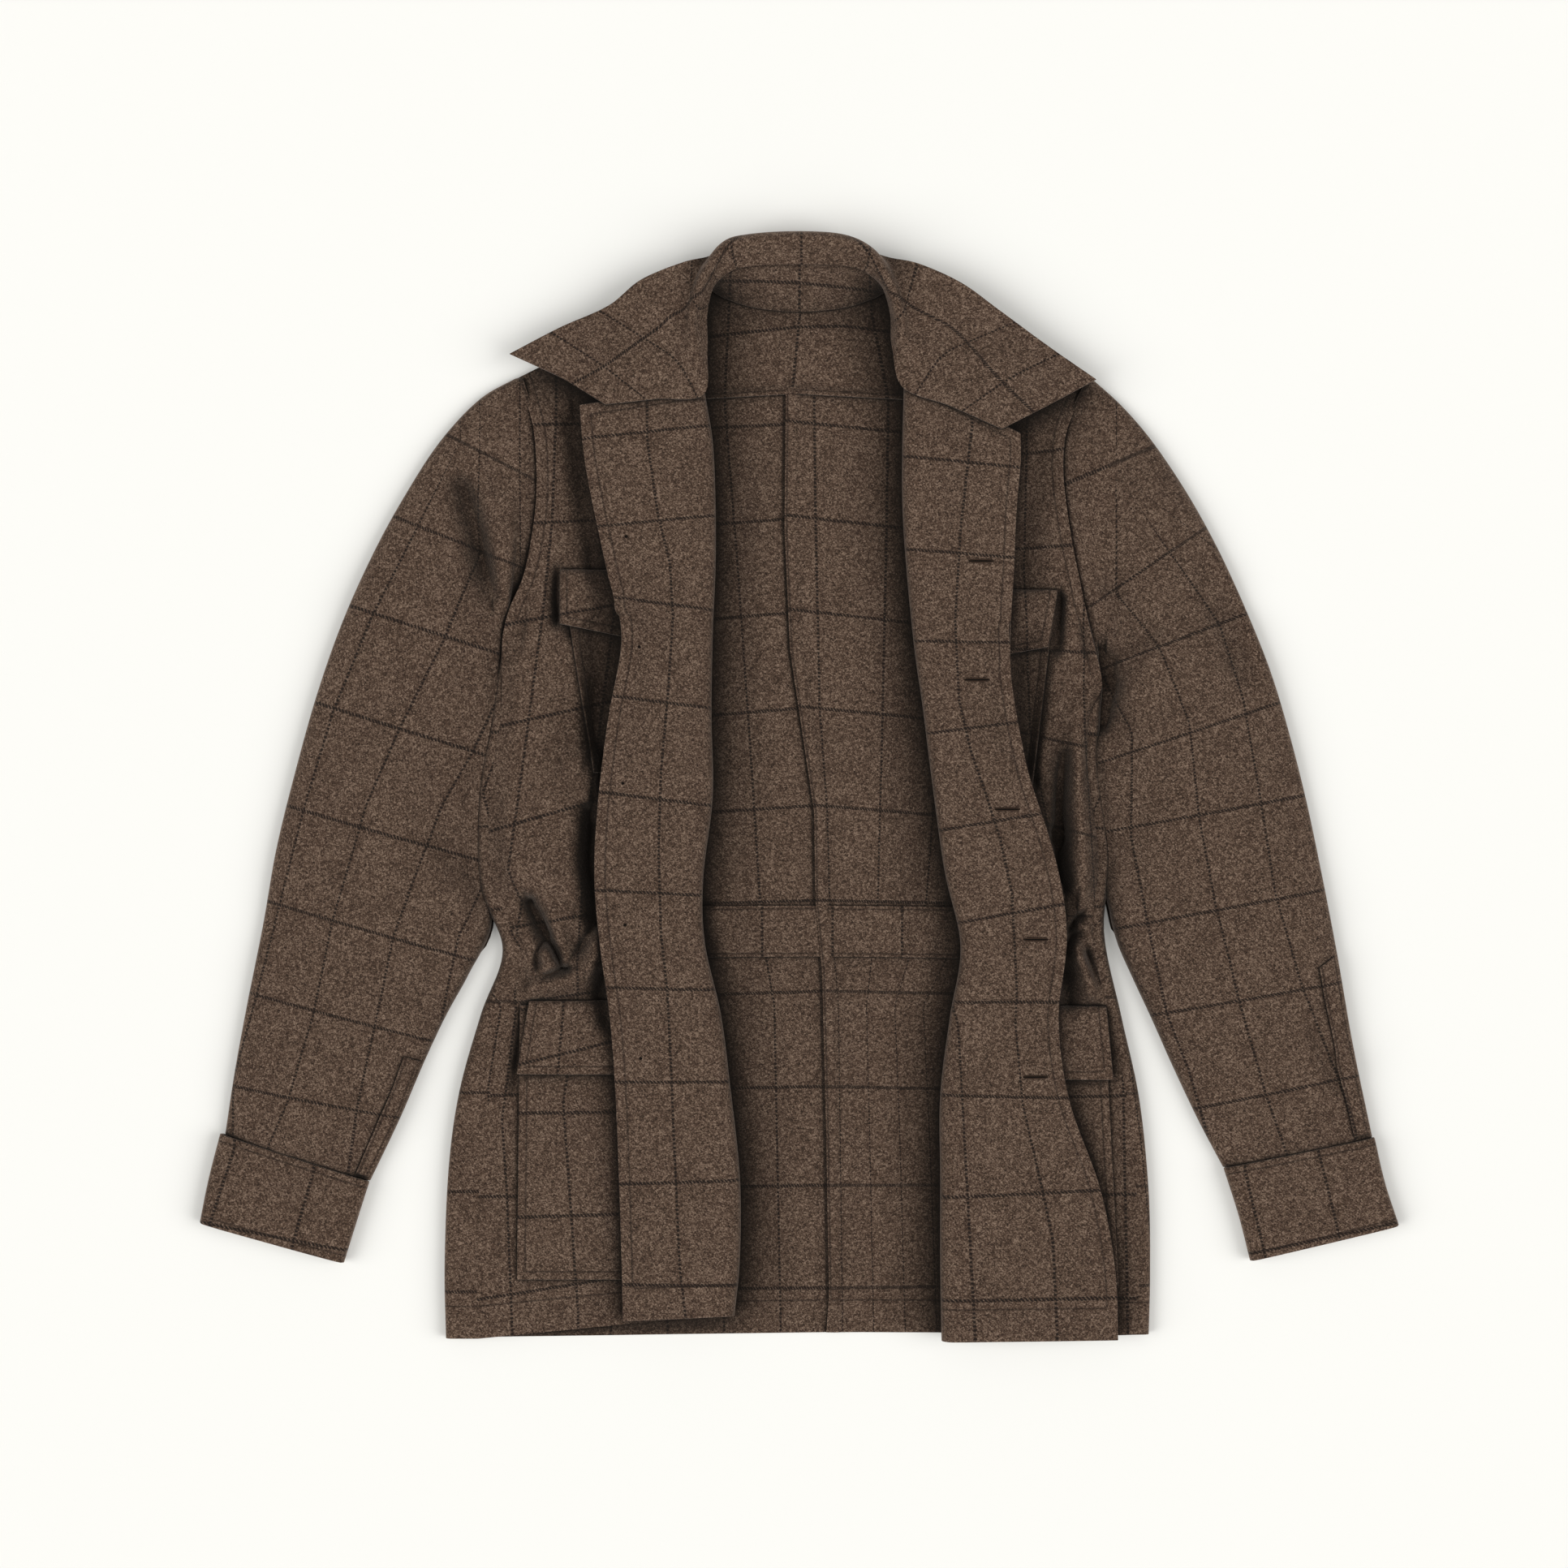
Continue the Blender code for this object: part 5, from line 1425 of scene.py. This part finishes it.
def horn_material():
    """Polished dark horn with paler streaks."""
    made, tree, shader = new_material("streaked_horn")
    place = add(tree, "ShaderNodeTexCoord").outputs["Object"]
    stretched = add(tree, "ShaderNodeMapping", Vector=place, Scale=(420, 120, 200))
    streaks = noise(tree, stretched.outputs[0], 1.0, 4.0, 0.6)
    ramp = add(tree, "ShaderNodeValToRGB", Fac=streaks)
    stops = ramp.color_ramp.elements
    stops[0].position, stops[0].color = 0.42, (*DARK_HORN, 1)
    stops[1].position, stops[1].color = 0.72, (*PALE_HORN, 1)
    surface(tree, shader, ramp.outputs[0], streaks, 0.15, 0.0003)
    shader.inputs["Roughness"].default_value = 0.32
    return made


def floor_material():
    """Plain off-white board."""
    made, tree, shader = new_material("pale_floor")
    shader.inputs["Base Color"].default_value = (*FLOOR_COLOUR, 1)
    shader.inputs["Roughness"].default_value = 1.0
    shader.inputs["Specular IOR Level"].default_value = 0.0
    return made


def sewn_detail(name, grids, materials, slit=0.0):
    """Small sewn pieces in one mesh, with the middle of each in the second material where there is a slit."""
    corners, faces, shades = [], [], []
    for points in grids:
        row, col, number, there = grid_faces(points, False)
        faces += (number[row, col] + len(corners)).tolist()
        corners += (points[there] * MM).tolist()
        middle = np.abs((col.mean(axis=1) / (points.shape[1] - 1)) * 2 - 1)
        shades += (middle < slit).astype(int).tolist()
    mesh = bpy.data.meshes.new(name)
    mesh.from_pydata(corners, [], faces)
    for material in materials:
        mesh.materials.append(material)
    mesh.polygons.foreach_set("material_index", shades)
    mesh.shade_smooth()
    piece = bpy.data.objects.new(name, mesh)
    bpy.context.scene.collection.objects.link(piece)
    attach(piece, "root")


def dress_facing(side, facing):
    """Buttonholes on the right facing, the buttons' threads on the left one."""
    tree = grid_tree(moved_out(facing, CLOTH / 2))
    if side.name == "right":
        # The slit's material is a near-black sheet of painted shade, lying where the cut would show only
        # shadow
        looks = [thread_material("thread_right", THREAD_COLOUR), thread_material("slit", PAINTED_SHADE_COLOUR)]
        grids = [buttonhole_points(tree, *picture(*place)) for place in BUTTONHOLES]
        sewn_detail("buttonholes_right", grids, looks, BUTTONHOLE_SLIT)
    else:
        grids = [thread_points(tree, *picture(*place)) for place in BUTTON_THREADS]
        sewn_detail("button_threads_left", grids, [thread_material("button_thread", CHECK_YARN)])


def dress_body(side):
    """One front with its facing, pockets and flaps, and the half of the back that it is sewn to."""
    checks, under = side.checks, [f"front_{side.name}"]
    front = front_points(side)
    cloth(f"front_{side.name}", front, checks["front"], FRONT_SEWN, CLOTH,
          rows=front_rows(side.front) >= ARMPIT)
    facing = facing_points(front)
    cloth(f"facing_{side.name}", facing, checks["facing"], FACING_SEWN, CLOTH)
    dress_facing(side, facing)
    cloth(f"back_{side.name}", back_points(side), checks["back"], side.back_sewn, CLOTH)

    tree = grid_tree(front[:, : FRONT_STEPS + 1])
    pocket_lift = CLOTH / 2 + LAYER_GAP + CLOTH / 2
    flap_lift = pocket_lift + CLOTH / 2 + LAYER_GAP + FLAP_CLOTH / 2
    for name, pocket in side.pockets.items():
        flap, pocket_name = side.flaps[name], f"{name}_pocket_{side.name}"
        patch = patch_points(tree, side, pocket, pocket_lift, puff=POCKET_PUFF)
        check = checks.get(name, checks["front"])
        cloth(pocket_name, patch, check, PATCH_SEWN, CLOTH)
        patch = patch_points(tree, side, flap, flap_lift, flap.point, FLAP_CURL, POCKET_PUFF, FLAP_SEAT)
        check = checks.get(name + "_flap", checks["front"])
        cloth(f"{name}_flap_{side.name}", patch, check, PATCH_SEWN, FLAP_CLOTH)


def dress_sleeve(side):
    """One sleeve as upper and under halves, with its placket and cuff."""
    check = side.checks["sleeve"]
    upper_name, under_name = f"sleeve_upper_{side.name}", f"sleeve_under_{side.name}"
    at = np.linspace(0, len(side.sleeve) - 1, SLEEVE_ROWS)
    upper = sleeve_surface(side, at, edge_steps(SLEEVE_STEPS + 1))
    cloth(upper_name, upper, check, SLEEVE_SEWN, CLOTH)
    under = sleeve_surface(side, at[::2], np.linspace(0, 1, UNDER_STEPS + 1))
    under[..., 2] = CLOTH / 2
    under[0, :, 0] = side_x(side.front, under[0, :, 1]) - side.inward * (ARMHOLE_TUCK / 2 + SEAM_GAP)
    beside = under[:, -1, 1] > side.front[WAIST].side_y
    under[1:, -1, 0] += side.inward * SIDE_TUCK * beside[1:]
    cloth(under_name, under, check, UNSEWN, CLOTH)

    rows = np.linspace(side.placket.first_row, side.placket.last_row, PLACKET_ROWS)
    turn = np.linspace(side.placket.near, side.placket.far, PLACKET_STEPS) * math.pi
    steps = 0.5 - 0.5 * np.sign(np.cos(turn)) * np.abs(np.cos(turn)) ** SLEEVE_SQUARENESS
    strip = moved_out(sleeve_surface(side, rows, steps), CLOTH / 2 + SEAM_GAP + PLACKET_CLOTH / 2)
    cloth(f"placket_{side.name}", strip, check, PLACKET_SEWN, PLACKET_CLOTH)
    band = cuff_points(side.cuff)
    cloth(f"cuff_{side.name}", band, side.checks["cuff"], CUFF_SEWN, CUFF_CLOTH, loop=True)


def dress_collar():
    """The collar's stand and outer leaf, with the check counted along the leaf from the centre back."""
    cloth("collar_stand", stand_points(), STAND_CHECK, STAND_SEWN, CLOTH)
    fall = fall_points()
    way = along(fall, 0)[:, [FALL_CHECK_COLUMN]]
    u = way - way[len(fall) // 2] + 0 * fall[..., 0]
    v = from_end(fall, 1) - FALL_CHECK_EDGE - FALL_CHECK_DROP * np.maximum(np.abs(u) - FALL_CHECK_FROM, 0)
    places = np.stack([u, v], axis=2) * MM
    cloth("collar_fall", fall, places, UNSEWN, COLLAR_CLOTH)


def dress():
    """All the cloth of the jacket, and its buttons."""
    for dress_part in (dress_body, dress_sleeve):
        for side in (LEFT, RIGHT):
            dress_part(side)
    cloth("yoke", yoke_points(), YOKE_CHECK, YOKE_SEWN, CLOTH)
    cloth("waist_casing", casing_points(), CASING_CHECK, CASING_SEWN, CASING_CLOTH)
    dress_collar()
    horn = horn_material()
    for number in range(1, len(BUTTON_THREADS) + 1):
        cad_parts[f"button_{number}"].data.materials.clear()
        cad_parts[f"button_{number}"].data.materials.append(horn)


def stage():
    """A pale floor, lamps to both sides and at the hem, a dim sky and the camera overhead."""
    scene = bpy.context.scene
    mesh = bpy.data.meshes.new("floor")
    corners = [(x * FLOOR_HALF, y * FLOOR_HALF, 0) for x, y in ((-1, -1), (1, -1), (1, 1), (-1, 1))]
    mesh.from_pydata(corners, [], [(0, 1, 2, 3)])
    mesh.materials.append(floor_material())
    floor = bpy.data.objects.new("floor", mesh)
    floor.location.z = -FLOOR_DROP
    # The floor shades nothing, so that the outer edges stay as light as the cloth in the open
    floor.visible_shadow = False
    scene.collection.objects.link(floor)

    world = bpy.data.worlds.new("studio")
    world.use_nodes = True
    world.node_tree.nodes["Background"].inputs["Color"].default_value = (1.0, 1.0, 1.0, 1)
    world.node_tree.nodes["Background"].inputs["Strength"].default_value = SKY_STRENGTH
    scene.world = world
    for row in LAMPS:
        light = bpy.data.lights.new(row.name, "SUN")
        light.energy = row.strength
        light.angle = math.radians(row.spread)
        lamp = bpy.data.objects.new(row.name, light)
        lamp.rotation_euler = (math.radians(row.to_hem), math.radians(row.to_right), 0)
        scene.collection.objects.link(lamp)

    camera = bpy.data.cameras.new("camera")
    camera.sensor_width = SENSOR
    camera.lens = camera.sensor_width * (CAMERA_HEIGHT - JACKET_PLANE) / (PICTURE_SIZE * PIXEL * MM)
    camera.clip_end = FAR_PLANE
    eye = bpy.data.objects.new("camera", camera)
    x, y = picture(PICTURE_SIZE / 2, PICTURE_SIZE / 2)
    eye.location = (x * MM, y * MM, CAMERA_HEIGHT)
    scene.collection.objects.link(eye)
    scene.camera = eye
    scene.view_settings.view_transform = "Standard"


WOOL = wool_material()
dress()
stage()
